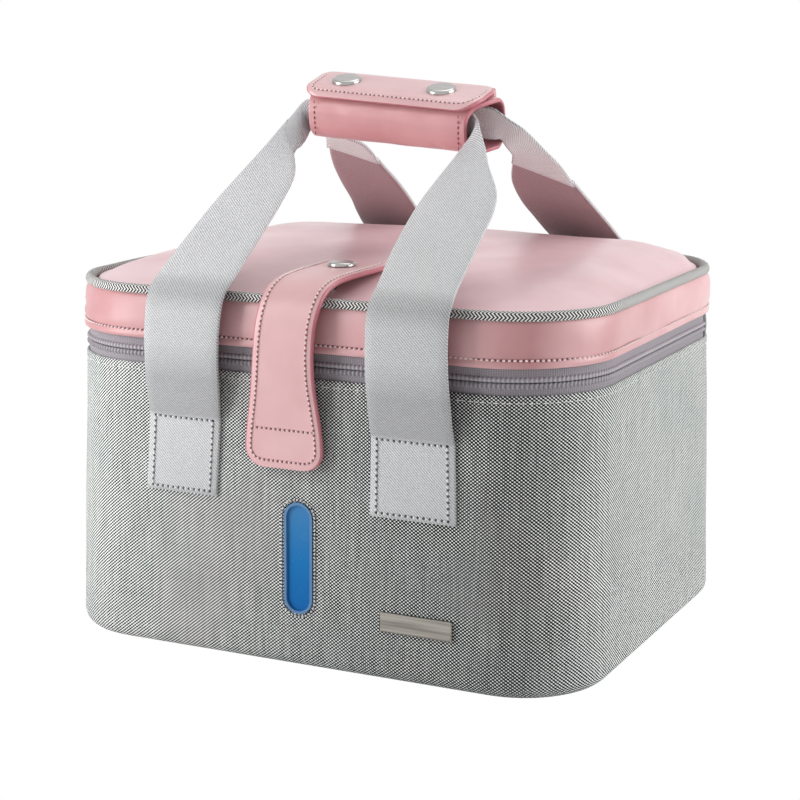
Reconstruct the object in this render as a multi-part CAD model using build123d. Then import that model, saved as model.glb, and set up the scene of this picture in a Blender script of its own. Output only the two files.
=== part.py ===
from build123d import *
from math import atan2, degrees
import os

# UV sterilizer bag. X is the width, Y the depth with the front at -Y, Z is up.
# The origin is the middle of the base. The lid is shut and both handles stand up.

# Body: a box that narrows a little towards its top
base_width = 284.0
base_depth = 234.0
base_corner = 42.0
top_width = 279.0
top_depth = 229.0
top_corner = 50.0
shell_height = 140.5
base_edge_round = 7.0
shell_thickness = 2.0
foam_thickness = 5.0
liner_thickness = 0.8
floor_board = 3.0
fit = 0.3

# Lid
zip_rise = 5.5
zip_gap = 12.0
band_height = 20.5
band_overhang = 0.75
band_lean = 3.25
zip_level = shell_height + zip_rise
band_bottom = shell_height + zip_gap
band_top = band_bottom + band_height
band_bottom_width = top_width + 2 * band_overhang
band_bottom_depth = top_depth + 2 * band_overhang
band_top_width = band_bottom_width - 2 * band_lean
band_top_depth = band_bottom_depth - 2 * band_lean
band_corner = top_corner
band_thickness = 2.0
tray_wall = 2.5
tray_floor = 2.0
tray_floor_height = 3.0
tray_lip = 1.0
piping_radius = 2.4
panel_thickness = 2.0
panel_margin = 5.0
panel_skirt = 3.0
crown_height = 11.0
crown_front_run = 100.0
crown_side_run = 35.0
crown_corner_draw = 33.0
piping_inset = 2.6
lid_open_end = 72.0

# Zip
tape_thickness = 0.8
tape_sewn_depth = 7.0
coil_radius = 0.65
slider_length = 12.0
slider_height = 8.0
slider_plate = 1.0
slider_rest = 58.0
slider_neck = 0.5
row_gap = 1.1
teeth_gap = 0.06
pull_length = 24.0
pull_width = 7.6
pull_thickness = 1.4
pull_bar_radius = 0.6
bail_width = 3.8
bail_depth = 3.2
bail_height = 3.8

# Handles
webbing_width = 40.0
webbing_thickness = 1.8
handle_spacing = 122.0
sewn_drop = 23.5
sewn_length = 37.0
strap_standoff = 5.5
strap_draw_in = 4.0
strap_narrowing = 6.0
shoulder_rise = 5.0
shoulder_standoff = 6.0
sewn_top = shell_height - sewn_drop
sewn_bottom = sewn_top - sewn_length
shoulder_level = band_top + shoulder_rise

# Leather grip round both handles
grip_length = 100.0
grip_depth = 28.0
grip_height = 26.0
grip_rise = 75.0
grip_level = shoulder_level + grip_rise
grip_leather = 2.2
grip_corner = 10.0
grip_tilt = 15.0
grip_roll = 4.0
grip_flap_lip = 9.0
grip_snap_spacing = 52.0
grip_snap_offset = -3.5
folded_height = 18.5
folded_thickness = 8.6

# Closure flap over the front of the lid
flap_width = 41.0
flap_x = 3.0
flap_leather = 2.6
flap_rise = 2.7
flap_hang = 43.0
flap_bottom = shell_height - flap_hang
flap_hinge_y = -82.0
flap_standoff = 6.5
flap_bend_drop = 2.0
flap_anchor_length = 27.0
flap_snap_y = -73.0
flap_snap_cap_radius = 6.8
flap_end_round = 10.0
flap_waist = 3.0
magnet_diameter = 16.0
magnet_thickness = 1.4
magnet_gap = 0.1577

# Snap fasteners
cap_radius = 7.5
cap_height = 1.8
stud_radius = 3.0
stud_height = 1.3
stud_sink = 1.0
socket_radius = 5.6

# Front window and plate
window_width = 15.0
window_bottom = 27.0
window_height = 54.0
window_top = window_bottom + window_height
window_rim = 1.3
window_x = 1.5
plate_width = 36.6
plate_height = 9.4
plate_x = 63.0
plate_level = 29.5
plate_thickness = 1.6

# Lamp, electronics and controls in the lid
lamp_length = 190.0
lamp_depth = 26.0
lamp_cover = 1.6
led_count = 8
led_pitch = 22.0
led_size = 3.6
led_height = 1.2
board_thickness = 1.6
battery_length = 92.0
battery_depth = 56.0
battery_height = 9.0
control_length = 60.0
control_depth = 34.0
button_y = -92.0
button_radius = 4.2
button_rise = 1.8
bezel_radius = 6.5
bezel_height = 6.6
button_travel = 1.2
port_width = 9.6
port_height = 3.8
port_depth = 7.5
port_y = 30.0
port_rise = 11.0


def rounded(width, depth, corner, z):
    """Rounded rectangle at height z."""
    return Pos(0, 0, z) * RectangleRounded(width, depth, corner)


def body_plan(z, inset):
    """Outline of the body at height z, drawn in by inset."""
    share = z / shell_height
    width = base_width + (top_width - base_width) * share - 2 * inset
    depth = base_depth + (top_depth - base_depth) * share - 2 * inset
    corner = base_corner + (top_corner - base_corner) * share - inset
    return rounded(width, depth, corner, z)


def body_block(inset, z0, z1):
    return loft([body_plan(z0, inset), body_plan(z1, inset)], ruled=True)


def lid_plan(z, inset):
    """Outline of the lid's side band at height z, drawn in by inset."""
    share = (z - band_bottom) / (band_top - band_bottom)
    width = band_bottom_width + (band_top_width - band_bottom_width) * share - 2 * inset
    depth = band_bottom_depth + (band_top_depth - band_bottom_depth) * share - 2 * inset
    return rounded(width, depth, band_corner - inset, z)


def lid_block(inset, z0, z1):
    return loft([lid_plan(z0, inset), lid_plan(z1, inset)], ruled=True)


def front_y(z):
    """Depth of the body's front face at height z."""
    return -(base_depth + (top_depth - base_depth) * z / shell_height) / 2


def span(x0, x1, y0, y1, z0, z1):
    """Block between three pairs of coordinates."""
    return Pos((x0 + x1) / 2, (y0 + y1) / 2, (z0 + z1) / 2) * Box(x1 - x0, y1 - y0, z1 - z0)


def slot_bar(x, width, z0, z1, y0, y1):
    """Bar along Y with a slot-shaped section."""
    outline = RectangleRounded(width, z1 - z0, width / 2 - 0.01)
    face = Plane(origin=(x, y1, (z0 + z1) / 2), x_dir=(1, 0, 0), z_dir=(0, -1, 0)) * outline
    return extrude(face, y1 - y0)


def strip(points, radii, thickness, x0, x1):
    """Strip of an even thickness that follows a path in the YZ plane from x0 to x1."""
    path = FilletPolyline(*[(0, y, z) for y, z in points], radius=radii)
    start = Plane(origin=path @ 0, z_dir=path % 0, x_dir=(1, 0, 0))
    section = start * Rectangle(abs(x1 - x0), thickness)
    return Pos((x0 + x1) / 2, 0, 0) * sweep(section, path=path)


# Body

foam_inset = shell_thickness
liner_inset = foam_inset + foam_thickness
cavity_inset = liner_inset + liner_thickness
liner_top = shell_height - 2.0


def window_bar(margin):
    """Window opening made wider by margin on every side, through the front wall."""
    return slot_bar(window_x, window_width + 2 * margin, window_bottom - margin, window_top + margin,
                    -max(base_depth, top_depth) / 2 - 2, -min(base_depth, top_depth) / 2 + cavity_inset + 2)


def make_outer_shell():
    block = body_block(0, 0, shell_height)
    block = fillet(block.faces().sort_by(Axis.Z)[0].edges(), base_edge_round)
    hollow = body_block(shell_thickness, shell_thickness, shell_height)
    hollow = fillet(hollow.faces().sort_by(Axis.Z)[0].edges(), base_edge_round - shell_thickness)
    shell = block - hollow
    tape_groove = body_block(shell_thickness - tape_thickness, shell_height - tape_sewn_depth, shell_height)
    tape_groove -= body_block(shell_thickness, shell_height - tape_sewn_depth, shell_height)
    return shell - zip_sides(tape_groove) - window_bar(0)


def make_wall_foam():
    top = liner_top - liner_thickness
    foam = body_block(foam_inset, base_edge_round + fit, top)
    foam -= body_block(liner_inset, base_edge_round + fit, top)
    return foam - window_bar(0)


def make_base_board():
    return body_block(liner_inset + fit, shell_thickness, shell_thickness + floor_board)


def make_inner_liner():
    """Reflective tub whose rim folds out over the foam."""
    bottom = shell_thickness + floor_board
    tub = body_block(liner_inset, bottom, liner_top)
    rim = body_block(foam_inset, liner_top - liner_thickness, liner_top)
    tub = tub + rim
    return tub - body_block(cavity_inset, bottom + liner_thickness, liner_top) - window_bar(0)


def make_window_pane():
    wall = body_block(shell_thickness * 0.4, 1, shell_height) - body_block(cavity_inset, 1, shell_height)
    return wall & window_bar(-window_rim)


def make_window_rim():
    """Clear moulded rim that lines the opening and holds the pane."""
    wall = body_block(-0.5, 1, shell_height) - body_block(cavity_inset, 1, shell_height)
    return wall & (window_bar(0) - window_bar(-window_rim))


def make_front_plate():
    wall = body_block(-plate_thickness, 1, shell_height) - body_block(0, 1, shell_height)
    z0 = plate_level - plate_height / 2
    block = span(plate_x - plate_width / 2, plate_x + plate_width / 2,
                 front_y(0) - 10, front_y(0) + 10, z0, z0 + plate_height)
    plate = wall & block
    return chamfer(plate.faces().sort_by(Axis.Y)[0].edges(), 0.6)


def make_body_magnet():
    """Magnet buried in the front foam behind the flap's end."""
    z, radius = flap_bottom + 13, magnet_diameter / 2
    wall = max(front_y(z - radius), front_y(z + radius)) + shell_thickness
    return Pos(flap_x, wall + magnet_gap + magnet_thickness / 2, z) * Rot(90, 0, 0) * Cylinder(
        radius, magnet_thickness)


def zip_sides(solid):
    """Keep the stretch of the front and sides that the zip runs round."""
    return solid & span(-base_width, base_width, -base_depth, lid_open_end, 0, band_top)


# Zip

def make_lower_tape():
    z1 = zip_level - row_gap / 2
    outside = body_block(shell_thickness - tape_thickness, shell_height - tape_sewn_depth, z1)
    inside = body_block(shell_thickness, shell_height - tape_sewn_depth, z1)
    return zip_sides(outside - inside)


def make_upper_tape():
    z0 = zip_level + row_gap / 2
    z1 = band_bottom + tray_lip
    outside = body_block(shell_thickness - tape_thickness, z0, z1)
    inside = body_block(shell_thickness, z0, z1)
    return zip_sides(outside - inside)


def make_coil(z):
    """Row of zip teeth round the front and the two sides."""
    inset = shell_thickness - tape_thickness - coil_radius - teeth_gap
    outline = body_plan(zip_level, inset).bounding_box()
    x, y = outline.max.X, outline.max.Y
    path = FilletPolyline((-x, lid_open_end, z), (-x, -y, z), (x, -y, z), (x, lid_open_end, z),
                          radius=top_corner - inset)
    start = Plane(origin=path @ 0, z_dir=path % 0)
    return sweep(start * Circle(coil_radius), path=path)


tape_x = -body_plan(zip_level, shell_thickness - tape_thickness).bounding_box().max.X
slider_outer_x = tape_x - 2 * coil_radius - teeth_gap - fit
pull_x = slider_outer_x - slider_plate - bail_depth / 2 - 0.1


def make_slider():
    """Two plates joined by a thin neck between the rows, open at the top so the lid's row lifts out."""
    y0, y1 = slider_rest - slider_length / 2, slider_rest + slider_length / 2
    z0, z1 = zip_level - slider_height / 2, zip_level + slider_height / 2
    front = span(slider_outer_x - slider_plate, slider_outer_x, y0, y1, z0, z1)
    front = fillet(front.edges().filter_by(Axis.X), 2.2)
    inner = tape_x + tape_thickness + fit
    back = fillet(span(inner, inner + slider_plate, y0, y1, z0, z1).edges().filter_by(Axis.X), 2.2)
    neck = span(slider_outer_x, inner, y0 + 2, y1 - 2, zip_level - slider_neck / 2, zip_level + slider_neck / 2)
    bail_x = slider_outer_x - slider_plate - bail_depth / 2
    bail = Pos(bail_x, slider_rest, zip_level) * Box(bail_depth, bail_width, bail_height)
    bail = fillet(bail.edges().filter_by(Axis.Y).sort_by(Axis.X)[:2], 1.2)
    hole = Pos(pull_x, slider_rest, zip_level) * Rot(90, 0, 0) * Cylinder(pull_bar_radius + fit, bail_width)
    return front + back + neck + bail - hole


def make_pull():
    """Pull tab whose bar turns in the slider's bail."""
    eye = bail_height / 2 + 1.2
    half = pull_thickness / 2
    arm = pull_width / 2
    frame = span(pull_x - half, pull_x + half, slider_rest - arm, slider_rest + arm,
                 zip_level - pull_length, zip_level + half)
    frame = fillet(frame.edges().filter_by(Axis.X).sort_by(Axis.Z)[:2], arm - 0.5)
    frame -= span(pull_x - 1, pull_x + 1, slider_rest - bail_width / 2 - fit,
                  slider_rest + bail_width / 2 + fit, zip_level - eye, zip_level + 2 * half)
    bar = Pos(pull_x, slider_rest, zip_level) * Rot(90, 0, 0) * Cylinder(pull_bar_radius, pull_width - 1)
    return frame + bar


def make_hinge_gusset():
    """Strip of cloth that closes the back between body and lid and bends as their hinge."""
    strip_wall = body_block(0.4, shell_height, band_bottom) - body_block(1.6, shell_height, band_bottom)
    return strip_wall & span(-base_width, base_width, lid_open_end + fit, base_depth, 0, band_top)


# Lid

lining_top = band_bottom + tray_floor_height
core_bottom = lining_top + tray_floor
skirt_top = band_top + panel_skirt
crown_top = skirt_top + crown_height
lamp_y = 0.0


def crown_level(y):
    """Height of the top panel on its long slope from the front edge."""
    share = (y + band_top_depth / 2 - panel_margin) / crown_front_run
    return skirt_top + crown_height * (1 - (1 - share) ** 2)


button_top = crown_level(button_y) + button_rise


def crown_block(inset):
    """Padded top: a short upright edge, a long slope from the front and a fuller rear and sides."""
    width = band_top_width - 2 * (panel_margin + inset)
    depth = band_top_depth - 2 * (panel_margin + inset)
    corner = band_corner - panel_margin - inset
    edge = loft([rounded(width, depth, corner, band_top), rounded(width, depth, corner, skirt_top)],
                ruled=True)
    slices = []
    for share in (0, 0.25, 0.5, 0.75, 1):
        draw = (crown_front_run + crown_side_run) * share
        rise = (crown_height - inset) * (1 - (1 - share) ** 2)
        outline = rounded(width - 2 * crown_side_run * share, depth - draw, corner - crown_corner_draw * share,
                          skirt_top + rise)
        slices.append(Pos(0, (crown_front_run - crown_side_run) * share / 2, 0) * outline)
    return edge + loft(slices)


def make_side_band():
    return lid_block(0, band_bottom, band_top) - lid_block(band_thickness, band_bottom, band_top) - port_hole(fit)


def make_piping():
    """Round covered cord along the lid's upper edge."""
    z = band_top + piping_radius
    line = rounded(band_top_width - 2 * piping_inset, band_top_depth - 2 * piping_inset,
                   band_corner - piping_inset, z).wire()
    start = Plane(origin=line @ 0, z_dir=line % 0)
    return sweep(start * Circle(piping_radius), path=line)


def make_top_panel():
    panel = crown_block(0) - crown_block(panel_thickness)
    panel -= Pos(flap_x, button_y, button_top) * Cylinder(bezel_radius, 2 * bezel_height)
    snap_level = crown_level(flap_snap_y)
    return panel - Pos(flap_x, flap_snap_y, snap_level) * Cylinder(stud_radius + fit, 2 * stud_sink + fit)


def make_crown_pad():
    pad = crown_block(panel_thickness)
    pad -= Pos(flap_x, button_y, button_top) * Cylinder(bezel_radius, 2 * bezel_height)
    return pad - Pos(flap_x, button_y, band_top) * Cylinder(stem_radius + 1, 2 * panel_thickness)


def make_lid_tray():
    """Moulded tray that stiffens the lid and carries the lamp."""
    wall = lid_block(band_thickness, band_bottom + tray_lip, band_top)
    wall -= lid_block(band_thickness + tray_wall, band_bottom + tray_lip, band_top)
    floor = lid_block(band_thickness + tray_wall, lining_top, core_bottom)
    floor -= span(-lamp_length / 2, lamp_length / 2, lamp_y - lamp_depth / 2, lamp_y + lamp_depth / 2,
                  lining_top, core_bottom)
    return wall + floor - port_hole(fit)


def make_lid_lining():
    """Reflective sheet under the tray's floor."""
    sheet = lid_block(band_thickness + tray_wall, lining_top - liner_thickness, lining_top)
    return sheet - span(-lamp_length / 2, lamp_length / 2, lamp_y - lamp_depth / 2, lamp_y + lamp_depth / 2,
                        lining_top - liner_thickness, lining_top)


battery_x = 74.0
battery_y = 52.0
board_y = button_y + 9
stem_radius = 2.0
board_top = band_top - 3.4
board_bottom = board_top - board_thickness


def make_lid_core():
    """Foam that fills the lid, with pockets for the lamp board, battery and control board."""
    core = lid_block(band_thickness + tray_wall, core_bottom, band_top)
    core -= span(-lamp_length / 2, lamp_length / 2, lamp_y - lamp_depth / 2, lamp_y + lamp_depth / 2,
                 core_bottom, core_bottom + board_thickness + fit)
    core -= Pos(battery_x, battery_y, band_top) * Box(battery_length + 1, battery_depth + 1,
                                                      2 * battery_height + 1)
    core -= span(flap_x - control_length / 2 - fit, flap_x + control_length / 2 + fit,
                 board_y - control_depth / 2 - fit, board_y + control_depth / 2 + fit,
                 board_bottom, band_top)
    return core - port_hole(fit)


def make_battery():
    z = band_top - battery_height / 2
    pack = Pos(battery_x, battery_y, z) * Box(battery_length, battery_depth, battery_height)
    return fillet(pack.edges().filter_by(Axis.Z), 3)


def make_control_board():
    board = span(flap_x - control_length / 2, flap_x + control_length / 2,
                 board_y - control_depth / 2, board_y + control_depth / 2, board_bottom, board_top)
    switch = Pos(flap_x, button_y, board_top + 0.5) * Box(6, 6, 1)
    chip = Pos(flap_x - 16, button_y, board_top + 0.6) * Box(8, 8, 1.2)
    connector = Pos(flap_x + 20, button_y, board_top + 1.2) * Box(9, 6, 2.4)
    return board + switch + chip + connector


def make_led_board():
    z = core_bottom + board_thickness / 2
    return Pos(0, lamp_y, z) * Box(lamp_length - 1, lamp_depth - 1, board_thickness)


def make_leds():
    """Row of ultraviolet lamps facing down from their board."""
    leds = []
    for i in range(led_count):
        x = (i - (led_count - 1) / 2) * led_pitch
        package = Pos(x, lamp_y, core_bottom - led_height / 2) * Box(led_size, led_size, led_height)
        leds.append(chamfer(package.edges().filter_by(Axis.Z), 0.3))
    return Compound(children=[led.solid() for led in leds])


def make_lamp_frame():
    """Slim frame round the lamp's cover, with a lip that shows below the lining."""
    opening = Box(lamp_length - 8, lamp_depth - 8, 20)
    z0 = lining_top - liner_thickness
    frame = span(-lamp_length / 2, lamp_length / 2, lamp_y - lamp_depth / 2, lamp_y + lamp_depth / 2,
                 z0, core_bottom)
    frame = fillet(frame.edges().filter_by(Axis.Z), 3)
    lip = Pos(0, lamp_y, z0 - 0.5) * Box(lamp_length + 6, lamp_depth + 6, 1)
    lip = fillet(lip.edges().filter_by(Axis.Z), 6)
    seat = Pos(0, lamp_y, z0 + 0.2) * Box(lamp_length - 5, lamp_depth - 5, lamp_cover)
    return frame + lip - Pos(0, lamp_y, z0) * opening - seat


def make_lamp_cover():
    """Clear quartz plate that sits in the frame."""
    z0 = lining_top - liner_thickness
    return Pos(0, lamp_y, z0 + 0.2) * Box(lamp_length - 5, lamp_depth - 5, lamp_cover)


def make_button():
    cap = Pos(flap_x, button_y, button_top - 1.7) * Cylinder(button_radius, 3.4)
    cap = fillet(cap.edges().sort_by(Axis.Z)[-1], 0.6)
    stem_top = button_top - 3.4
    stem_bottom = board_top + 1 + button_travel + 0.2
    stem = Pos(flap_x, button_y, (stem_top + stem_bottom) / 2) * Cylinder(stem_radius, stem_top - stem_bottom)
    return cap + stem


def make_bezel():
    """Metal ring that the button slides in."""
    ring = Pos(flap_x, button_y, button_top - bezel_height / 2) * Cylinder(bezel_radius, bezel_height)
    ring = fillet(ring.edges().sort_by(Axis.Z)[-1], 0.5)
    return ring - Pos(flap_x, button_y, button_top) * Cylinder(button_radius + fit, 2 * bezel_height + 2)


port_level = band_bottom + port_rise
port_x = -(band_bottom_width / 2 - band_lean * port_rise / band_height)


def port_hole(margin):
    """Slot through the lid's left side for the charging socket."""
    outline = RectangleRounded(port_width + 2 * margin, port_height + 2 * margin, port_height / 2)
    face = Plane(origin=(port_x - 2, port_y, port_level), x_dir=(0, 1, 0), z_dir=(1, 0, 0)) * outline
    return extrude(face, port_depth + 2 + margin)


def make_port():
    """Charging socket with its metal mouth level with the band."""
    outline = RectangleRounded(port_width, port_height, port_height / 2 - 0.01)
    mouth = RectangleRounded(port_width - 1.2, port_height - 1.2, port_height / 2 - 0.7)
    plane = Plane(origin=(port_x, port_y, port_level), x_dir=(0, 1, 0), z_dir=(1, 0, 0))
    tongue = Plane(origin=(port_x + 1, port_y, port_level), x_dir=(0, 1, 0), z_dir=(1, 0, 0)) * Rectangle(
        port_width - 3.4, 0.7)
    shell = extrude(plane * outline, port_depth) - extrude(plane * mouth, port_depth - 1)
    return shell + extrude(tongue, port_depth - 1.5)


# Snap fasteners

def snap_cap(x, y, z, radius):
    """Domed metal cap."""
    disc = Pos(x, y, z + cap_height / 2) * Cylinder(radius, cap_height)
    return fillet(disc.edges().sort_by(Axis.Z)[-1], cap_height * 0.85)


def snap_socket(x, y, z):
    """Ring under a flap that the stud clicks into."""
    ring = Cylinder(socket_radius, stud_height) - Cylinder(stud_radius + fit, stud_height)
    return Pos(x, y, z - stud_height / 2) * ring


def snap_stud(x, y, z, height=stud_height):
    """Stud with a rounded top."""
    knob = Pos(x, y, z + height / 2) * Cylinder(stud_radius, height)
    return fillet(knob.edges().sort_by(Axis.Z)[-1], 0.4)


# Closure flap

flap_under = crown_level(flap_snap_y) + flap_rise
flap_center_z = flap_under + flap_leather / 2


def flap_outline():
    """Outline seen from the front: narrow over the lid, wider towards its rounded lower end."""
    half, waist = flap_width / 2, flap_width / 2 - flap_waist
    wide, narrow, top = flap_bottom + 16, shell_height, flap_center_z + 20
    points = [(-half, flap_bottom), (half, flap_bottom), (half, wide), (waist, narrow), (waist, top),
              (-waist, top), (-waist, narrow), (-half, wide)]
    outline = make_face(Polyline([(flap_x + x, 0, z) for x, z in points], close=True))
    outline = fillet(outline.vertices().sort_by(Axis.Z)[:2], flap_end_round)
    return extrude(outline, base_depth, dir=(0, -1, 0))


def flap_magnet_place():
    z = flap_bottom + 13
    y = front_y(z) - fit - flap_leather / 2
    return Pos(flap_x, y, z) * Rot(90 + body_lean(), 0, 0)


def body_lean():
    """Angle by which the front face leans back."""
    return degrees(atan2((base_depth - top_depth) / 2, shell_height))


def make_closure_flap():
    """Leather flap that arches over the lid's front edge and lies on the body."""
    half = flap_leather / 2
    low_y = front_y(flap_bottom) - half - fit
    points = [(flap_hinge_y, flap_center_z), (-band_top_depth / 2 + 9, flap_center_z),
              (-band_bottom_depth / 2 - flap_standoff, band_top - flap_bend_drop),
              (front_y(shell_height) - half - 3.6, shell_height - 6),
              (low_y, flap_bottom)]
    flap = strip(points, [17, 16, 60], flap_leather, flap_x - flap_width / 2, flap_x + flap_width / 2)
    width = flap_width - 2 * flap_waist
    knuckle = Pos(flap_x, flap_hinge_y, flap_center_z) * Rot(0, 90, 0) * Cylinder(half, width)
    pocket = flap_magnet_place() * Cylinder(magnet_diameter / 2, magnet_thickness)
    return (flap + knuckle) & flap_outline() - pocket


def make_flap_anchor():
    """End of the flap that a snap holds to the lid."""
    y0 = flap_hinge_y + flap_leather / 2 + 2 * fit
    width = flap_width - 2 * flap_waist
    outline = Pos(flap_x, y0 + flap_anchor_length / 2, flap_under) * Rectangle(width, flap_anchor_length)
    outline = fillet(outline.vertices().sort_by(Axis.Y)[2:], flap_end_round)
    return extrude(outline, flap_leather)


# Handles

strap_x = handle_spacing / 2
grip_pose = Pos(0, 0, grip_level) * Rot(grip_tilt, grip_roll, 0) * Pos(0, 0, -grip_level)


def make_strap_ends(side):
    """Ends of one handle where they are sewn flat to the body."""
    wall = body_block(-webbing_thickness, sewn_bottom, sewn_top) - body_block(0, sewn_bottom, sewn_top)
    ends = []
    for x in (-strap_x, strap_x):
        block = Pos(x, side * base_depth / 2, sewn_top) * Box(webbing_width, base_corner, 2 * sewn_length)
        ends.append((wall & block).solid())
    return Compound(children=ends)


def leg_outline(x_side):
    """Leg of a handle seen from the front: straight at the body, drawn in towards the grip."""
    half = webbing_width / 2
    grip_end = grip_length / 2 + 1.6
    top = grip_level + folded_height / 2
    leg_x = strap_x - strap_draw_in
    bend = (shoulder_level + grip_level) / 2
    points = [(strap_x + half, sewn_top + fit), (leg_x + half + 1, shoulder_level),
              (leg_x + half - strap_narrowing, bend), (grip_end + 9, grip_level - 4),
              (grip_end + 9, top), (grip_end, top), (grip_end, grip_level - grip_height / 2 - 2),
              (leg_x - half - 2, bend), (leg_x - half, shoulder_level), (strap_x - half, sewn_top + fit)]
    face = make_face(Polyline([(x_side * x, 0, z) for x, z in points], close=True))
    return extrude(face, base_depth, dir=(0, 1, 0), both=True)


def make_webbing(side):
    """One handle: two legs and the folded stretch that lies inside the grip."""
    half = webbing_thickness / 2
    start_y = front_y(sewn_top) - half
    points = [(start_y, sewn_top + fit), (start_y - strap_standoff + 1, shell_height),
              (-band_top_depth / 2 - shoulder_standoff - 2, shoulder_level),
              (-folded_thickness / 2, grip_level - 4)]
    leg = strip(points, [30, 8], webbing_thickness, -strap_x - webbing_width, strap_x + webbing_width)
    legs = (leg & leg_outline(-1)) + (leg & leg_outline(1))
    if side > 0:
        legs = mirror(legs, about=Plane.XZ)
    bar = Pos(0, side * (folded_thickness / 2 + fit), grip_level) * Box(
        grip_length + 19, folded_thickness, folded_height)
    return legs + grip_pose * fillet(bar.edges().filter_by(Axis.X), 3)


# Grip

wrap_top = grip_level + grip_height / 2
grip_flap_z = wrap_top + stud_height + 0.1 + grip_leather / 2
grip_hinge_y = grip_depth / 2 - 4


def make_grip_wrap():
    """Leather sleeve round both handles, with a ridge at the back that its flap grows from."""
    plane = Plane(origin=(-grip_length / 2, 0, grip_level), x_dir=(0, 1, 0), z_dir=(1, 0, 0))
    outer = extrude(plane * RectangleRounded(grip_depth, grip_height, grip_corner), grip_length)
    hollow = RectangleRounded(grip_depth - 2 * grip_leather, grip_height - 2 * grip_leather,
                              grip_corner - grip_leather)
    sleeve = outer - extrude(plane * hollow, grip_length)
    ridge_y = grip_hinge_y + grip_leather / 2 + fit
    ridge = span(-grip_length / 2, grip_length / 2, ridge_y, grip_depth / 2,
                 grip_level + grip_height / 4, grip_flap_z - fit)
    ridge = fillet(ridge.edges().filter_by(Axis.X).sort_by(Axis.Y)[-2:], 1.2)
    return grip_pose * (sleeve + (ridge - extrude(plane * hollow, grip_length)))


def make_grip_flap():
    """Flap that closes over the top of the grip and laps its front."""
    front = -grip_depth / 2 - fit - grip_leather / 2
    points = [(grip_hinge_y, grip_flap_z), (front, grip_flap_z), (front, grip_flap_z - grip_flap_lip)]
    flap = strip(points, [4.5], grip_leather, -grip_length / 2, grip_length / 2)
    knuckle = Pos(0, grip_hinge_y, grip_flap_z) * Rot(0, 90, 0) * Cylinder(grip_leather / 2, grip_length)
    return grip_pose * (flap + knuckle)


def grip_snaps(make, z, *extra):
    """One piece of each of the two snaps of the grip."""
    half = grip_snap_spacing / 2
    parts = [make(grip_snap_offset + x, -1.5, z, *extra).solid() for x in (-half, half)]
    return grip_pose * Compound(children=parts)


def save(name, shape):
    solids = shape.solids()
    export_step(solids[0] if len(solids) == 1 else Compound(children=solids), f"parts/{name}.step")


def main():
    os.makedirs("parts", exist_ok=True)
    flap_over = flap_under + flap_leather
    magnet_place = flap_magnet_place()
    body_magnet = make_body_magnet()
    save("outer_shell", make_outer_shell())
    save("wall_foam", make_wall_foam() - body_magnet)
    save("base_board", make_base_board())
    save("inner_liner", make_inner_liner())
    save("window_pane", make_window_pane())
    save("window_rim", make_window_rim())
    save("front_plate", make_front_plate())
    save("body_magnet", body_magnet)
    save("front_strap_ends", make_strap_ends(-1))
    save("rear_strap_ends", make_strap_ends(1))
    save("zip_tape_lower", make_lower_tape())
    save("zip_teeth_lower", make_coil(zip_level - row_gap / 2 - coil_radius))
    save("zip_tape_upper", make_upper_tape())
    save("zip_teeth_upper", make_coil(zip_level + row_gap / 2 + coil_radius))
    save("zip_slider", make_slider())
    save("zip_pull", make_pull())
    save("hinge_gusset", make_hinge_gusset())
    save("lid_side_band", make_side_band())
    save("lid_piping", make_piping())
    save("lid_top_panel", make_top_panel())
    save("lid_crown_pad", make_crown_pad())
    save("lid_tray", make_lid_tray())
    save("lid_lining", make_lid_lining())
    save("lid_core", make_lid_core())
    save("battery_pack", make_battery())
    save("control_board", make_control_board())
    save("led_board", make_led_board())
    save("uv_leds", make_leds())
    save("lamp_frame", make_lamp_frame())
    save("lamp_cover", make_lamp_cover())
    save("power_button", make_button())
    save("button_bezel", make_bezel())
    save("charge_port", make_port())
    save("closure_flap", make_closure_flap())
    save("flap_anchor", make_flap_anchor())
    save("flap_magnet", magnet_place * Cylinder(magnet_diameter / 2, magnet_thickness))
    save("flap_snap_cap", snap_cap(flap_x, flap_snap_y, flap_over, flap_snap_cap_radius))
    save("flap_snap_socket", snap_socket(flap_x, flap_snap_y, flap_under))
    stud_foot = crown_level(flap_snap_y) - stud_sink
    save("flap_snap_stud", snap_stud(flap_x, flap_snap_y, stud_foot, flap_under - fit - stud_foot))
    save("front_webbing", make_webbing(-1))
    save("rear_webbing", make_webbing(1))
    save("grip_wrap", make_grip_wrap())
    save("grip_flap", make_grip_flap())
    save("grip_snap_caps", grip_snaps(snap_cap, grip_flap_z + grip_leather / 2, cap_radius))
    save("grip_snap_sockets", grip_snaps(snap_socket, grip_flap_z - grip_leather / 2))
    save("grip_snap_studs", grip_snaps(snap_stud, wrap_top))


main()
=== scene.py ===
import math
import random
import bpy
import numpy as np
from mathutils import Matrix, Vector, noise


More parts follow.
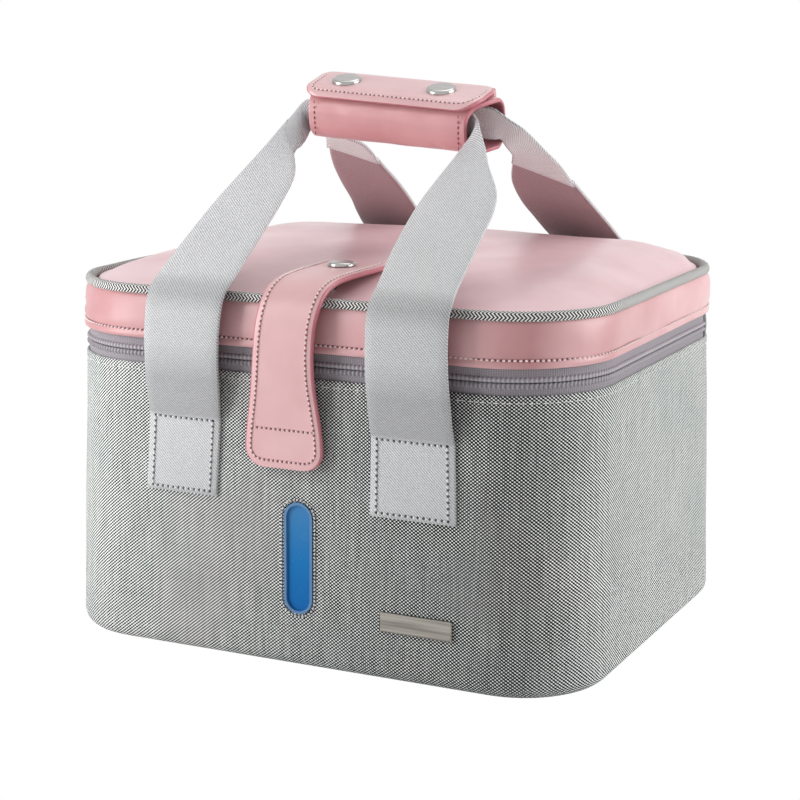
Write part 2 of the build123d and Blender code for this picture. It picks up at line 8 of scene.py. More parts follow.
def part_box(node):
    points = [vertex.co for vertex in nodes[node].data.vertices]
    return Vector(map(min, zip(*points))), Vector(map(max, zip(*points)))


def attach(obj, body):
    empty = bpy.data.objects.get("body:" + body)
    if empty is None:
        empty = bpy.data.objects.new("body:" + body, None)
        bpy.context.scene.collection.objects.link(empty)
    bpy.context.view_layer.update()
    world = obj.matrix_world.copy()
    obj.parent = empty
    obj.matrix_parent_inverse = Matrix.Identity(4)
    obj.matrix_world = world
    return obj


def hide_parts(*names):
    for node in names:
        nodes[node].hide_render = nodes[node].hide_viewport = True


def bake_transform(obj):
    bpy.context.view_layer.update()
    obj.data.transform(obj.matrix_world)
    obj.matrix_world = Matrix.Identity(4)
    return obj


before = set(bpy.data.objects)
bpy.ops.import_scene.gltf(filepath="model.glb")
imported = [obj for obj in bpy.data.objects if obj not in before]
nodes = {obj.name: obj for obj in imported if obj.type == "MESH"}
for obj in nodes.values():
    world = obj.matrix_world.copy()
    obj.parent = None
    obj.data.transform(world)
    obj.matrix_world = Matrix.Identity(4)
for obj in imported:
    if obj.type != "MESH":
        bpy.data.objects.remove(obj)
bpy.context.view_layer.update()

random.seed(7)
mm = 0.001
scene = bpy.context.scene


# Geometry helpers. Lengths are in millimetres until a mesh is made.

def lerp(a, b, t):
    return a + (b - a) * t


def smoothstep(a, b, t):
    u = np.clip((t - a) / (b - a), 0.0, 1.0)
    return u * u * (3 - 2 * u)


def unit(v):
    v = np.asarray(v, float)
    return v / np.maximum(np.linalg.norm(v, axis=-1, keepdims=True), 1e-9)


def waves(us, vs, depth, scale, seed):
    # slow random heights, one for each place (u, v)
    return np.array([noise.noise(Vector((u * scale + seed, v * scale, depth * scale))) for u, v in zip(us, vs)])


def runAlong(spots):
    # length of the line through the spots up to each of them
    return np.concatenate([[0], np.cumsum(np.linalg.norm(np.diff(spots, axis=0), axis=1))])


def atRun(place, run, rows):
    return np.array([np.interp(place, run, rows[:, c]) for c in range(rows.shape[1])])


def lifted(flat, z=0.0):
    return np.column_stack([flat, np.full(len(flat), float(z))])


def firstWhere(mask):
    return int(np.nonzero(mask)[0][0])


def indexAt(value, row):
    # place of a value in a rising or falling row, as an index with a fraction
    sign = 1 if row[-1] > row[0] else -1
    return float(np.interp(sign * value, sign * row, np.arange(len(row))))


def newParts():
    return {"verts": [], "faces": [], "slots": [], "cloth": []}


def addPart(parts, verts, faces, slot, cloth=None):
    start = len(parts["verts"])
    parts["verts"] += [tuple(v) for v in verts]
    parts["cloth"] += [tuple(c) for c in (cloth if cloth is not None else np.zeros((len(verts), 3)))]
    parts["faces"] += [tuple(start + i for i in f) for f in faces]
    parts["slots"] += list(slot) if hasattr(slot, "__len__") else [slot] * len(faces)
    return start


def makePiece(name, parts, materials, body=None, replaced=()):
    mesh = bpy.data.meshes.new(name)
    mesh.from_pydata([(x * mm, y * mm, z * mm) for x, y, z in parts["verts"]], [], parts["faces"])
    for material in materials:
        mesh.materials.append(material)
    mesh.polygons.foreach_set("material_index", parts["slots"])
    mesh.polygons.foreach_set("use_smooth", [True] * len(mesh.polygons))
    layer = mesh.attributes.new("cloth", "FLOAT_VECTOR", "POINT")
    layer.data.foreach_set("vector", (np.array(parts["cloth"], np.float32) * mm).ravel())
    mesh.update()
    obj = bpy.data.objects.new(name, mesh)
    scene.collection.objects.link(obj)
    if body:
        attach(obj, body)
    if replaced:
        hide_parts(*replaced)
    return obj


frontAngle, leftAngle = 270, 180


def facing(columns, angle):
    # indices of a ring's columns that look straight to one side
    return np.nonzero(np.abs(columns[:, 2] - angle) < 0.1)[0]


def ringColumns(acrossCount, sideCount, arcCount, rearAngle=None, fine=None):
    # one (share of x, share of y, angle) for each column, from the middle of the back by left, front and right
    columns = []
    if rearAngle is None:
        columns += [(-t, 1, 90) for t in np.linspace(0, 1, acrossCount // 2, endpoint=False)]
    first = 90 if rearAngle is None else rearAngle
    columns += [(-1, 1, a) for a in np.linspace(first, 180, arcCount, endpoint=False)]
    columns += [(-1, t, 180) for t in np.linspace(1, -1, sideCount, endpoint=False)]
    columns += [(-1, -1, a) for a in np.linspace(180, 270, arcCount, endpoint=False)]
    front = np.linspace(-1, 1, acrossCount + 1)[:-1]
    if fine:
        low, high, count = fine
        front = np.sort(np.concatenate([front[(front < low) | (front > high)], np.linspace(low, high, count)]))
    columns += [(t, -1, 270) for t in front]
    columns += [(1, -1, a) for a in np.linspace(270, 360, arcCount, endpoint=False)]
    columns += [(1, t, 360) for t in np.linspace(-1, 1, sideCount, endpoint=False)]
    columns += [(1, 1, 360 + a) for a in np.linspace(0, 180 - first, arcCount + 1)]
    if rearAngle is None:
        columns += [(1 - t, 1, 450) for t in np.linspace(0, 1, acrossCount // 2 + 1)[1:]]
    return np.array(columns, float)


def ring(columns, width, depth, corner):
    angle = np.radians(columns[:, 2])
    normal = np.stack([np.cos(angle), np.sin(angle)], 1)
    half = np.array([width / 2 - corner, depth / 2 - corner])
    xy = columns[:, :2] * half + corner * normal
    run, front = runAlong(xy), facing(columns, frontAngle)
    if len(front):
        run = run - np.interp(0, xy[front, 0], run[front])
    return xy, normal, run


def sweepRings(columns, plan, profile, shift=None):
    # profile is a list of (inset, z); plan(z) gives width, depth and corner radius; shift moves a row outwards
    spots, cloth, v = [], [], 0.0
    for k, (inset, z) in enumerate(profile):
        width, depth, corner = plan(z)
        xy, normal, run = ring(columns, width - 2 * inset, depth - 2 * inset, max(corner - inset, 0.5))
        if k:
            v += math.hypot(inset - profile[k - 1][0], z - profile[k - 1][1])
        row = lifted(xy, z)
        if shift is not None:
            row = row + lifted(normal * shift(row, run, inset)[:, None])
        spots.append(row)
        cloth.append(np.column_stack([run, np.full(len(xy), v), np.zeros(len(xy))]))
    return np.array(spots), np.array(cloth)


def addGrid(parts, spots, cloth, closed=False, skip=None, capFirst=False, capLast=False, capEnds=False):
    rows, count = spots.shape[:2]
    faces = []
    for k in range(rows if closed else rows - 1):
        k2 = (k + 1) % rows
        for i in range(count - 1):
            if skip and skip[0] <= k < skip[1] and skip[2] <= i < skip[3]:
                continue
            faces.append((k * count + i, k * count + i + 1, k2 * count + i + 1, k2 * count + i))
    if capFirst:
        faces.append(tuple(range(count - 1))[::-1])
    if capLast:
        faces.append(tuple((rows - 1) * count + i for i in range(count - 1)))
    if capEnds:
        faces += [tuple(range(0, rows * count, count)), tuple(range(count - 1, rows * count, count))[::-1]]
    return addPart(parts, spots.reshape(-1, 3), faces, 0, cloth.reshape(-1, 3))


def cutSlot(parts, start, spots, cloth, cells, axes, centre, half, radius, depth, steps=5):
    # closes the gap left by skipped cells with a collar round a slot-shaped hole; half is half its straight run,
    # and axes are the two that lie along the surface
    lip, crowding, pushes = 0.5, 1.3, (0.25, 1.0)
    k0, k1, i0, i1 = cells
    count = spots.shape[1]
    axis, upright = axes
    across = spots[:, :, axis]
    heights = spots[:, (i0 + i1) // 2, upright]
    loop = ([(k0, i) for i in range(i0, i1)] + [(k, i1) for k in range(k0, k1)]
            + [(k1, i) for i in range(i1, i0, -1)] + [(k, i0) for k in range(k1, k0, -1)])
    data = np.concatenate([spots, cloth], axis=2)

    def surface(h, z):
        kf = k0 + indexAt(z, heights[k0:k1 + 1])
        k = min(int(kf), k1 - 1)
        jf = i0 + indexAt(h, lerp(across[k], across[k + 1], kf - k)[i0:i1 + 1])
        j = min(int(jf), i1 - 1)
        low = lerp(data[k, j], data[k, j + 1], jf - j)
        high = lerp(data[k + 1, j], data[k + 1, j + 1], jf - j)
        return lerp(low, high, kf - k)

    rings = []
    for k, i in loop:
        h, z = spots[k, i, axis], spots[k, i, upright]
        c = [np.clip(value, middle - reach, middle + reach) for value, middle, reach in zip((h, z), centre, half)]
        d = unit((h - c[0], z - c[1]))
        line = []
        for s in range(1, steps + 1):
            t = (1 - s / steps) ** crowding
            line.append(surface(lerp(c[0] + d[0] * (radius + lip), h, t), lerp(c[1] + d[1] * (radius + lip), z, t)))
        edge = surface(c[0] + d[0] * radius, c[1] + d[1] * radius)
        for push in pushes:
            line.append(edge + np.concatenate([np.array(depth, float) * push, np.zeros(3)]))
        rings.append(line)
    m = len(rings[0])
    base = len(parts["verts"])
    faces = []
    for a in range(len(loop)):
        b = (a + 1) % len(loop)
        (ka, ia), (kb, ib) = loop[a], loop[b]
        faces.append((start + ka * count + ia, base + a * m, base + b * m, start + kb * count + ib)[::-1])
        for s in range(m - 1):
            faces.append((base + a * m + s, base + a * m + s + 1, base + b * m + s + 1, base + b * m + s)[::-1])
    parts["verts"] += [tuple(p[:3]) for line in rings for p in line]
    parts["cloth"] += [tuple(p[3:]) for line in rings for p in line]
    parts["faces"] += faces
    parts["slots"] += [0] * len(faces)


def smoothRun(points, step):
    # Catmull-Rom through rows that start with one place or with two, resampled to even steps
    pts = np.array(points, float)
    pts = np.vstack([2 * pts[0] - pts[1], pts, 2 * pts[-1] - pts[-2]])
    out = []
    for k in range(1, len(pts) - 2):
        p0, p1, p2, p3 = pts[k - 1:k + 3]
        for t in np.linspace(0, 1, 24, endpoint=False):
            out.append(0.5 * (2 * p1 + (p2 - p0) * t + (2 * p0 - 5 * p1 + 4 * p2 - p3) * t * t
                              + (3 * p1 - p0 - 3 * p2 + p3) * t ** 3))
    out.append(pts[-2])
    out = np.array(out)
    middle = out[:, :3] if out.shape[1] < 6 else (out[:, :3] + out[:, 3:6]) / 2
    run = runAlong(middle)
    even = np.linspace(0, run[-1], max(3, int(run[-1] / step) + 1))
    return np.column_stack([np.interp(even, run, out[:, c]) for c in range(out.shape[1])]), even


def addRibbon(parts, left, right, run, thickness, slots=(0, 1, 2), steps=12, cup=0.0):
    # left and right are the two edges; the outer face lies on the side of cross(across, along)
    edgeInset, roundLevel = 0.38, 0.72
    across, dl, dr = right - left, np.gradient(left, axis=0), np.gradient(right, axis=0)
    width = np.linalg.norm(across, axis=1)
    count, n = steps + 1, len(left)
    inset = np.minimum(edgeInset * thickness, width * 0.2) / width

    def place(share, height, side):
        share = np.broadcast_to(share, n)
        s = share[:, None]
        normal = unit(np.cross(across, lerp(dl, dr, s)))
        p = left + across * s + normal * (height * thickness / 2 + cup * 4 * s * (1 - s))
        return p, np.column_stack([(share - 0.5) * width, run, np.full(n, side)])

    shares = np.linspace(0, 1, count)
    section = [(0.0, 0.0, 0.5), (inset * 0.3, roundLevel, 0.9)]
    section += [(lerp(inset, 1 - inset, s), 1.0, 1.0) for s in shares]
    section += [(1 - inset * 0.3, roundLevel, 0.9), (1.0, 0.0, 0.5), (1 - inset * 0.3, -roundLevel, 0.1)]
    section += [(lerp(1 - inset, inset, s), -1.0, 0.0) for s in shares]
    section += [(inset * 0.3, -roundLevel, 0.1)]
    spots, cloth = [np.array(rows) for rows in zip(*[place(*row) for row in section])]
    m = len(section)
    faces, faceSlots = [], []
    for j in range(m):
        j2 = (j + 1) % m
        kind = slots[0] if 2 <= j < 2 + count - 1 else slots[2] if count + 5 <= j < 2 * count + 4 else slots[1]
        for i in range(n - 1):
            faces.append((j * n + i, j2 * n + i, j2 * n + i + 1, j * n + i + 1))
            faceSlots.append(kind)
    faces.append(tuple(j * n for j in range(m))[::-1])
    faces.append(tuple(j * n + n - 1 for j in range(m)))
    faceSlots += [slots[1], slots[1]]
    addPart(parts, spots.reshape(-1, 3), faces, faceSlots, cloth.reshape(-1, 3))


def onRibbon(left, right, shareLine, thickness):
    # points and normals on the outer face; shareLine is a list of (share across, index along)
    dl, dr = np.gradient(left, axis=0), np.gradient(right, axis=0)
    spots, normals = [], []
    for s, at in shareLine:
        i = min(int(at), len(left) - 2)
        t = at - i
        l, r = lerp(left[i], left[i + 1], t), lerp(right[i], right[i + 1], t)
        tangent = lerp(lerp(dl[i], dl[i + 1], t), lerp(dr[i], dr[i + 1], t), s)
        normal = unit(np.cross(r - l, tangent))
        spots.append(l + (r - l) * s + normal * thickness / 2)
        normals.append(normal)
    return np.array(spots), np.array(normals)


stitch = {"shape": [(-1.0, 0.25), (-0.8, 0.75), (-0.3, 1.0), (0.3, 1.0), (0.8, 0.75), (1.0, 0.25)], "sides": 6,
          "tilt": 0.06, "length": (0.92, 1.08), "dip": 0.9, "aim": 0.6}
needleHole = {"size": (1.35, 1.6), "lift": 0.07, "sides": 6, "lastTurn": 5.236}


def addStitches(parts, spots, normals, pitch, length, radius, slot, sink=0.25, hole=None):
    # hole is the slot of the dark discs that paint shade in the needle holes, one hole between each two stitches
    spots, normals = np.asarray(spots, float), np.asarray(normals, float)
    run = runAlong(spots)
    count = max(1, int(round(run[-1] / pitch)))
    if hole is not None:
        verts, faces = [], []
        for q in range(count + 1):
            place = q * run[-1] / count
            p, n = atRun(place, run, spots), unit(atRun(place, run, normals))
            a = unit(np.cross(n, (0.3, 0.2, 0.93)))
            b = np.cross(n, a)
            size = radius * random.uniform(*needleHole["size"])
            faces.append(tuple(range(len(verts), len(verts) + needleHole["sides"])))
            verts += [p + n * needleHole["lift"] + (a * math.cos(t) + b * math.sin(t)) * size
                      for t in np.linspace(0, needleHole["lastTurn"], needleHole["sides"])]
        addPart(parts, verts, faces, hole)
    verts, faces = [], []
    shape, sides = stitch["shape"], stitch["sides"]
    for q in range(count):
        place = (q + 0.5) * run[-1] / count
        p, n = atRun(place, run, spots), unit(atRun(place, run, normals))
        ahead, behind = min(place + stitch["aim"], run[-1]), max(place - stitch["aim"], 0)
        t = unit(atRun(ahead, run, spots) - atRun(behind, run, spots))
        t = unit(t + unit(np.cross(n, t)) * random.uniform(-stitch["tilt"], stitch["tilt"]))
        b = unit(np.cross(n, t))
        size = random.uniform(*stitch["length"])
        start = len(verts)
        for share, girth in shape:
            rise = radius * (1 - sink) - radius * (stitch["dip"] * share * share)
            for a in [2 * math.pi * g / sides for g in range(sides)]:
                verts.append(p + t * share * length / 2 * size + n * rise
                             + (b * math.cos(a) + n * math.sin(a)) * radius * girth)
        for first in range(start, start + (len(shape) - 1) * sides, sides):
            for g in range(sides):
                g2 = (g + 1) % sides
                faces.append((first + g, first + g2, first + sides + g2, first + sides + g))
        last = start + (len(shape) - 1) * sides
        faces += [tuple(range(start, start + sides))[::-1], tuple(range(last, last + sides))]
    addPart(parts, verts, faces, slot)


def addRingStitches(parts, columns, size, z, pitch, length, radius, **more):
    xy, normal, _ = ring(columns, *size)
    addStitches(parts, lifted(xy, z), lifted(normal), pitch, length, radius, 0, **more)


# Material helpers

def rgb(r, g, b):
    def channel(c):
        c /= 255
        return c / 12.92 if c <= 0.04045 else ((c + 0.055) / 1.055) ** 2.4
    return (channel(r), channel(g), channel(b), 1.0)


def feed(tree, socket, value):
    # a link if the value is a socket, or else a fixed value
    if isinstance(value, bpy.types.NodeSocket):
        tree.links.new(value, socket)
    else:
        socket.default_value = value


def addNode(tree, kind, values=None, **settings):
    made = tree.nodes.new(kind)
    for key, value in settings.items():
        setattr(made, key, value)
    for key, value in (values or {}).items():
        feed(tree, made.inputs[key], value)
    return made


def calc(tree, operation, a, b=0.0, c=0.0, clamp=False):
    return addNode(tree, "ShaderNodeMath", {0: a, 1: b, 2: c}, operation=operation, use_clamp=clamp).outputs[0]


def blendColor(tree, share, a, b, kind="MIX"):
    made = addNode(tree, "ShaderNodeMix", {0: share, 6: a, 7: b}, data_type="RGBA", blend_type=kind)
    return made.outputs[2]


def noiseAt(tree, vector, scale, detail=2.0, roughness=0.5):
    return addNode(tree, "ShaderNodeTexNoise",
                   {"Vector": vector, "Scale": scale, "Detail": detail, "Roughness": roughness}).outputs["Fac"]


def span(tree, value, low, high, toLow=0.0, toHigh=1.0):
    made = addNode(tree, "ShaderNodeMapRange", {"Value": value, "From Min": low, "From Max": high,
                                                "To Min": toLow, "To Max": toHigh}, clamp=True)
    return made.outputs["Result"]


def paintedShadeAt(tree, value, reach, stops, tint=1.0):
    # painted shade: a level read off a row of (place, level) over the reach of the value; with tint over 1 it is redder
    # where darker
    made = addNode(tree, "ShaderNodeValToRGB", {0: span(tree, value, *reach)})
    ramp = made.color_ramp
    for k, (place, level) in enumerate(stops):
        stop = ramp.elements[k] if k < 2 else ramp.elements.new(place)
        stop.position = place
        stop.color = (level, level ** tint, level ** tint, 1.0)
    return made.outputs[0]


def axesOf(tree, vector):
    return addNode(tree, "ShaderNodeSeparateXYZ", {0: vector}).outputs


def gritAt(tree, vector, scale):
    return calc(tree, "SUBTRACT", noiseAt(tree, vector, scale, 1.0), 0.5)


def inPitches(tree, vector, pitches):
    # millimetres across and along the cloth, each divided by its pitch
    parted = axesOf(tree, vector)
    return [calc(tree, "DIVIDE", calc(tree, "MULTIPLY", parted[k], 1 / mm), pitch) for k, pitch in enumerate(pitches)]


def newGroup(name, values, outputs):
    # a group fed with coordinates and with numbers; returns its tree, what is given to it and what it gives
    tree = bpy.data.node_groups.new(name, "ShaderNodeTree")
    tree.interface.new_socket("Coordinates", in_out="INPUT", socket_type="NodeSocketVector")
    for label, value in values.items():
        tree.interface.new_socket(label, in_out="INPUT", socket_type="NodeSocketFloat").default_value = value
    for label in outputs:
        tree.interface.new_socket(label, in_out="OUTPUT", socket_type="NodeSocketFloat")
    return tree, tree.nodes.new("NodeGroupInput").outputs, tree.nodes.new("NodeGroupOutput").inputs


def makeWeaveGroup():
    # chequered dots of two yarns; one diagonal of the dots stands out more as Lean goes from 0 to 1; a higher shade
    # input makes fewer dots light, which paints shade
    tree, g, out = newGroup("chequeredWeave", {"Across": 2.0, "Along": 1.6, "Lean": 0.5, "Slub": 0.3, "Bias": 0.0},
                            ("Mask", "Height", "Slub"))
    parted = axesOf(tree, g["Coordinates"])
    wobble = gritAt(tree, g["Coordinates"], 110.0)
    turns = []
    for k, (label, sway) in enumerate((("Across", 0.5), ("Along", 0.4))):
        place = calc(tree, "ADD", calc(tree, "MULTIPLY", parted[k], 1 / mm), calc(tree, "MULTIPLY", wobble, sway))
        turns.append(calc(tree, "MULTIPLY", calc(tree, "DIVIDE", place, g[label]), 2 * math.pi))
    a, b = turns
    rising = calc(tree, "COSINE", calc(tree, "SUBTRACT", a, b))
    falling = calc(tree, "MULTIPLY", calc(tree, "COSINE", calc(tree, "ADD", a, b)), -1.0)
    mixed = addNode(tree, "ShaderNodeMix", {0: g["Lean"], 2: rising, 3: falling}, data_type="FLOAT").outputs[0]
    slubs = []
    for stretch, scale in (((1.0, 0.07, 1.0), 520.0), ((0.09, 1.0, 1.0), 620.0)):
        stretched = addNode(tree, "ShaderNodeMapping", {"Vector": g["Coordinates"], "Scale": stretch}).outputs[0]
        slubs.append(noiseAt(tree, stretched, scale, 2.0))
    slub = calc(tree, "SUBTRACT", calc(tree, "ADD", slubs[0], calc(tree, "MULTIPLY", slubs[1], 0.4)), 0.7)
    shifted = calc(tree, "ADD", mixed, calc(tree, "MULTIPLY", slub, g["Slub"]))
    shifted = calc(tree, "SUBTRACT", shifted, g["Bias"])
    feed(tree, out["Mask"], span(tree, shifted, -0.1, 0.1))
    feed(tree, out["Height"], calc(tree, "ABSOLUTE", mixed))
    feed(tree, out["Slub"], calc(tree, "ADD", slub, 0.5, clamp=True))
    return tree


def makeRibGroup():
    # fine slanting ribs as on woven tape and webbing
    tree, g, out = newGroup("slantingRibs", {"Across": 1.6, "Along": 1.6}, ("Height", "Mask"))
    x, y = inPitches(tree, g["Coordinates"], (g["Across"], g["Along"]))
    wave = calc(tree, "SINE", calc(tree, "MULTIPLY", calc(tree, "ADD", x, y), 2 * math.pi))
    picks = calc(tree, "SINE", calc(tree, "MULTIPLY", y, 4 * math.pi))
    height = calc(tree, "ADD", calc(tree, "MULTIPLY", wave, 0.5), calc(tree, "MULTIPLY", picks, 0.18))
    height = calc(tree, "ADD", height, calc(tree, "MULTIPLY", gritAt(tree, g["Coordinates"], 1400.0), 0.7))
    feed(tree, out["Height"], height)
    feed(tree, out["Mask"], span(tree, height, -0.6, 0.6))
    return tree


def makeGrainGroup():
    # soft pebbled leather grain with slow mottling
    tree, g, out = newGroup("leatherGrain", {"Scale": 1400.0}, ("Height", "Mottle"))
    cells = addNode(tree, "ShaderNodeTexVoronoi", {"Vector": g["Coordinates"], "Scale": g["Scale"]},
                    feature="SMOOTH_F1").outputs["Distance"]
    fine = noiseAt(tree, g["Coordinates"], 3200.0, 2.0)
    feed(tree, out["Height"], calc(tree, "ADD", cells, calc(tree, "MULTIPLY", fine, 0.35)))
    feed(tree, out["Mottle"], noiseAt(tree, g["Coordinates"], 28.0, 3.0))
    return tree


def makeBrushGroup():
    # fine brushing along X with small scratches
    tree, g, out = newGroup("brushedMetal", {"Scale": 900.0}, ("Height", "Streak"))
    drawn = addNode(tree, "ShaderNodeMapping", {"Vector": g["Coordinates"], "Scale": (0.03, 1.0, 1.0)}).outputs[0]
    streak = noiseAt(tree, drawn, g["Scale"], 3.0)
    feed(tree, out["Height"], streak)
    feed(tree, out["Streak"], streak)
    return tree


def makeSpeckleGroup():
    # moulded plastic: faint sparkle in the surface and slow tone change
    tree, g, out = newGroup("mouldedPlastic", {"Scale": 1800.0}, ("Height", "Tone"))
    feed(tree, out["Height"], noiseAt(tree, g["Coordinates"], g["Scale"], 2.0))
    feed(tree, out["Tone"], noiseAt(tree, g["Coordinates"], 35.0, 2.0))
    return tree


weaveGroup, ribGroup, grainGroup = makeWeaveGroup(), makeRibGroup(), makeGrainGroup()
brushGroup, speckleGroup = makeBrushGroup(), makeSpeckleGroup()


def startMaterial(name, coords="cloth"):
    material = bpy.data.materials.new(name)
    material.use_nodes = True
    tree = material.node_tree
    if coords == "cloth":
        return material, tree, addNode(tree, "ShaderNodeAttribute", attribute_name="cloth").outputs["Vector"]
    return material, tree, addNode(tree, "ShaderNodeTexCoord").outputs["Object"]


def finishMaterial(material, color, roughness, height, bump, **fixed):
    # bump is its strength and its distance in millimetres
    tree = material.node_tree
    made = addNode(tree, "ShaderNodeBump", {"Strength": bump[0], "Distance": bump[1] * mm, "Height": height})
    values = {"Base Color": color, "Roughness": roughness, "Normal": made.outputs["Normal"]}
    values.update({key.replace("_", " "): value for key, value in fixed.items()})
    for key, value in values.items():
        feed(tree, tree.nodes["Principled BSDF"].inputs[key], value)
    return material


def placeGroup(tree, group, values):
    return addNode(tree, "ShaderNodeGroup", values, node_tree=group).outputs


def makeBagCloth():
    # the row of shade levels across the front is painted shade: fewer light dots towards the front right, most about
    # 0.1 m right of the middle
    look = {"dark": rgb(5, 8, 12), "lighter": rgb(28, 32, 37), "light": rgb(239, 245, 242),
            "lightest": rgb(254, 255, 252), "across": 2.0, "along": 1.6, "slub": 0.4, "lean": (-0.12, 0.17, 0.4, 0.62),
            "reach": (-0.16, 0.24),
            "shadeRow": [(0.0, 0.0), (1.0, 0.02), (0.15, 0.02), (0.38, 0.12), (0.52, 0.24), (0.66, 0.3), (0.78, 0.08)]}
    material, tree, vector = startMaterial("bagCloth")
    x = axesOf(tree, vector)[0]
    weave = placeGroup(tree, weaveGroup, {
        "Coordinates": vector, "Across": look["across"], "Along": look["along"], "Slub": look["slub"],
        "Lean": span(tree, x, *look["lean"]), "Bias": paintedShadeAt(tree, x, look["reach"], look["shadeRow"])})
    slow = span(tree, noiseAt(tree, vector, 16.0, 3.0), 0.3, 0.7)
    light = blendColor(tree, slow, look["light"], look["lightest"])
    dark = blendColor(tree, weave["Slub"], look["dark"], look["lighter"])
    color = blendColor(tree, weave["Mask"], dark, light)
    return finishMaterial(material, color, 0.9, weave["Height"], (0.4, 0.2), Specular_IOR_Level=0.25)


def makeWebbing(name, light, dark, stops):
    # slanting ribs, and painted shade and light along the first 0.2 m: darker over a bulge, lighter where it is flat
    pitch, reach = 1.5, (0.0, 0.2)
    material, tree, vector = startMaterial(name)
    ribs = placeGroup(tree, ribGroup, {"Coordinates": vector, "Across": pitch, "Along": pitch})
    slow = span(tree, noiseAt(tree, vector, 40.0, 2.0), 0.3, 0.7)
    base = blendColor(tree, ribs["Mask"], dark, light)
    color = blendColor(tree, calc(tree, "MULTIPLY", slow, 0.12), base, light)
    # painted shade along the strap's run
    tone = paintedShadeAt(tree, axesOf(tree, vector)[1], reach, stops)
    return finishMaterial(material, blendColor(tree, 1.0, color, tone, "MULTIPLY"), 0.62, ribs["Height"], (0.6, 0.24),
                          Sheen_Weight=0.2, Sheen_Roughness=0.35)


def makeLeather(name, tone, deep, roughness=0.42, scale=1400.0, grain=0.06, coat=0.12, stops=None):
    # stops are painted shade across the front, from 0.3 m left of its middle to 0.24 m right of it
    reach, tint = (-0.3, 0.24), 1.6
    material, tree, vector = startMaterial(name)
    pebble = placeGroup(tree, grainGroup, {"Coordinates": vector, "Scale": scale})
    color = blendColor(tree, span(tree, pebble["Mottle"], 0.35, 0.65), deep, tone)
    if stops:
        # painted shade across the front
        shadeTones = paintedShadeAt(tree, axesOf(tree, vector)[0], reach, stops, tint)
        color = blendColor(tree, 1.0, color, shadeTones, "MULTIPLY")
    rougher = span(tree, pebble["Mottle"], 0.3, 0.7, roughness + 0.05, roughness - 0.04)
    return finishMaterial(material, color, rougher, pebble["Height"], (0.35, grain), Coat_Weight=coat,
                          Coat_Roughness=0.3, Sheen_Weight=0.08)


def darker(tone, share):
    return tuple(c * share for c in tone[:3]) + (1.0,)


def noiseTexture(scale, detail, roughness=0.5):
    return "ShaderNodeTexNoise", {"Scale": scale, "Detail": detail, "Roughness": roughness}, "Fac"


def makeMottled(name, texture, dark, light, roughness, bump, **fixed):
    # one texture gives both tone and height; it is the kind of node, its values and the name of its output
    material, tree, vector = startMaterial(name, "object")
    kind, values, output = texture
    fine = addNode(tree, kind, dict(values, Vector=vector)).outputs[output]
    return finishMaterial(material, blendColor(tree, fine, dark, light), roughness, fine, bump, **fixed)


def makeThread(name, tone):
    return makeMottled(name, noiseTexture(2600.0, 1.0), darker(tone, 0.8), tone, 0.55, (0.4, 0.1), Sheen_Weight=0.2)


def makePipingCloth():
    look = {"pitch": 1.8, "band": 3.6, "dark": rgb(20, 21, 24), "light": rgb(250, 249, 246)}
    material, tree, vector = startMaterial("pipingCloth")
    x, y = inPitches(tree, vector, (look["pitch"], look["band"]))
    slant = calc(tree, "MULTIPLY", calc(tree, "PINGPONG", y, 0.5), 2.2)
    wave = calc(tree, "SINE", calc(tree, "MULTIPLY", calc(tree, "ADD", x, slant), 2 * math.pi))
    grit = gritAt(tree, vector, 1500.0)
    mask = span(tree, calc(tree, "ADD", wave, calc(tree, "MULTIPLY", grit, 0.4)), -0.05, 0.3)
    return finishMaterial(material, blendColor(tree, mask, look["dark"], look["light"]), 0.85, wave, (0.4, 0.2))


def makeZipCloth(name, tone, deep, pitch, height):
    # darker where its ribs dip: painted shade in the grooves, on the zip's teeth, its tapes and the back cloth
    material, tree, vector = startMaterial(name)
    parted = axesOf(tree, vector)
    x, y = [calc(tree, "SINE", calc(tree, "MULTIPLY", parted[k], 1 / mm * 2 * math.pi / pitch[k])) for k in (0, 1)]
    wave = calc(tree, "ADD", x, calc(tree, "MULTIPLY", y, 0.6))
    grit = gritAt(tree, vector, 1300.0)
    mask = span(tree, calc(tree, "ADD", wave, grit), -1.2, 1.0)
    return finishMaterial(material, blendColor(tree, mask, deep, tone), 0.7, wave, (0.5, height), Sheen_Weight=0.1)


def makeMetal(name, tone, roughness, scale=900.0, brushing=0.02, depth=0.86):
    material, tree, vector = startMaterial(name, "object")
    brush = placeGroup(tree, brushGroup, {"Coordinates": vector, "Scale": scale})
    streak = span(tree, brush["Streak"], 0.35, 0.65)
    color = blendColor(tree, streak, darker(tone, depth), tone)
    rougher = span(tree, brush["Streak"], 0.3, 0.7, roughness + 0.06, roughness - 0.05)
    return finishMaterial(material, color, rougher, brush["Height"], (0.15, brushing), Metallic=1.0)


def makePlastic(name, tone, roughness=0.4, scale=1800.0, **fixed):
    material, tree, vector = startMaterial(name, "object")
    speck = placeGroup(tree, speckleGroup, {"Coordinates": vector, "Scale": scale})
    color = blendColor(tree, span(tree, speck["Tone"], 0.3, 0.7), darker(tone, 0.93), tone)
    return finishMaterial(material, color, span(tree, speck["Tone"], 0.3, 0.7, roughness + 0.04, roughness - 0.03),
                          speck["Height"], (0.12, 0.03), **fixed)


def makeBluePane():
    # clear blue sheet, deeper towards its foot
    look = {"top": rgb(68, 132, 184), "middle": rgb(16, 116, 184), "foot": rgb(0, 102, 176)}
    material, tree, vector = startMaterial("blueWindow", "object")
    height = axesOf(tree, vector)[2]
    color = blendColor(tree, span(tree, height, 0.052, 0.082), look["middle"], look["top"])
    color = blendColor(tree, span(tree, height, 0.027, 0.052), look["foot"], color)
    haze = noiseAt(tree, vector, 90.0, 2.0)
    return finishMaterial(material, color, span(tree, haze, 0.3, 0.7, 0.2, 0.32), haze, (0.05, 0.05), Coat_Weight=0.08,
                          Coat_Roughness=0.1, Specular_IOR_Level=0.12)


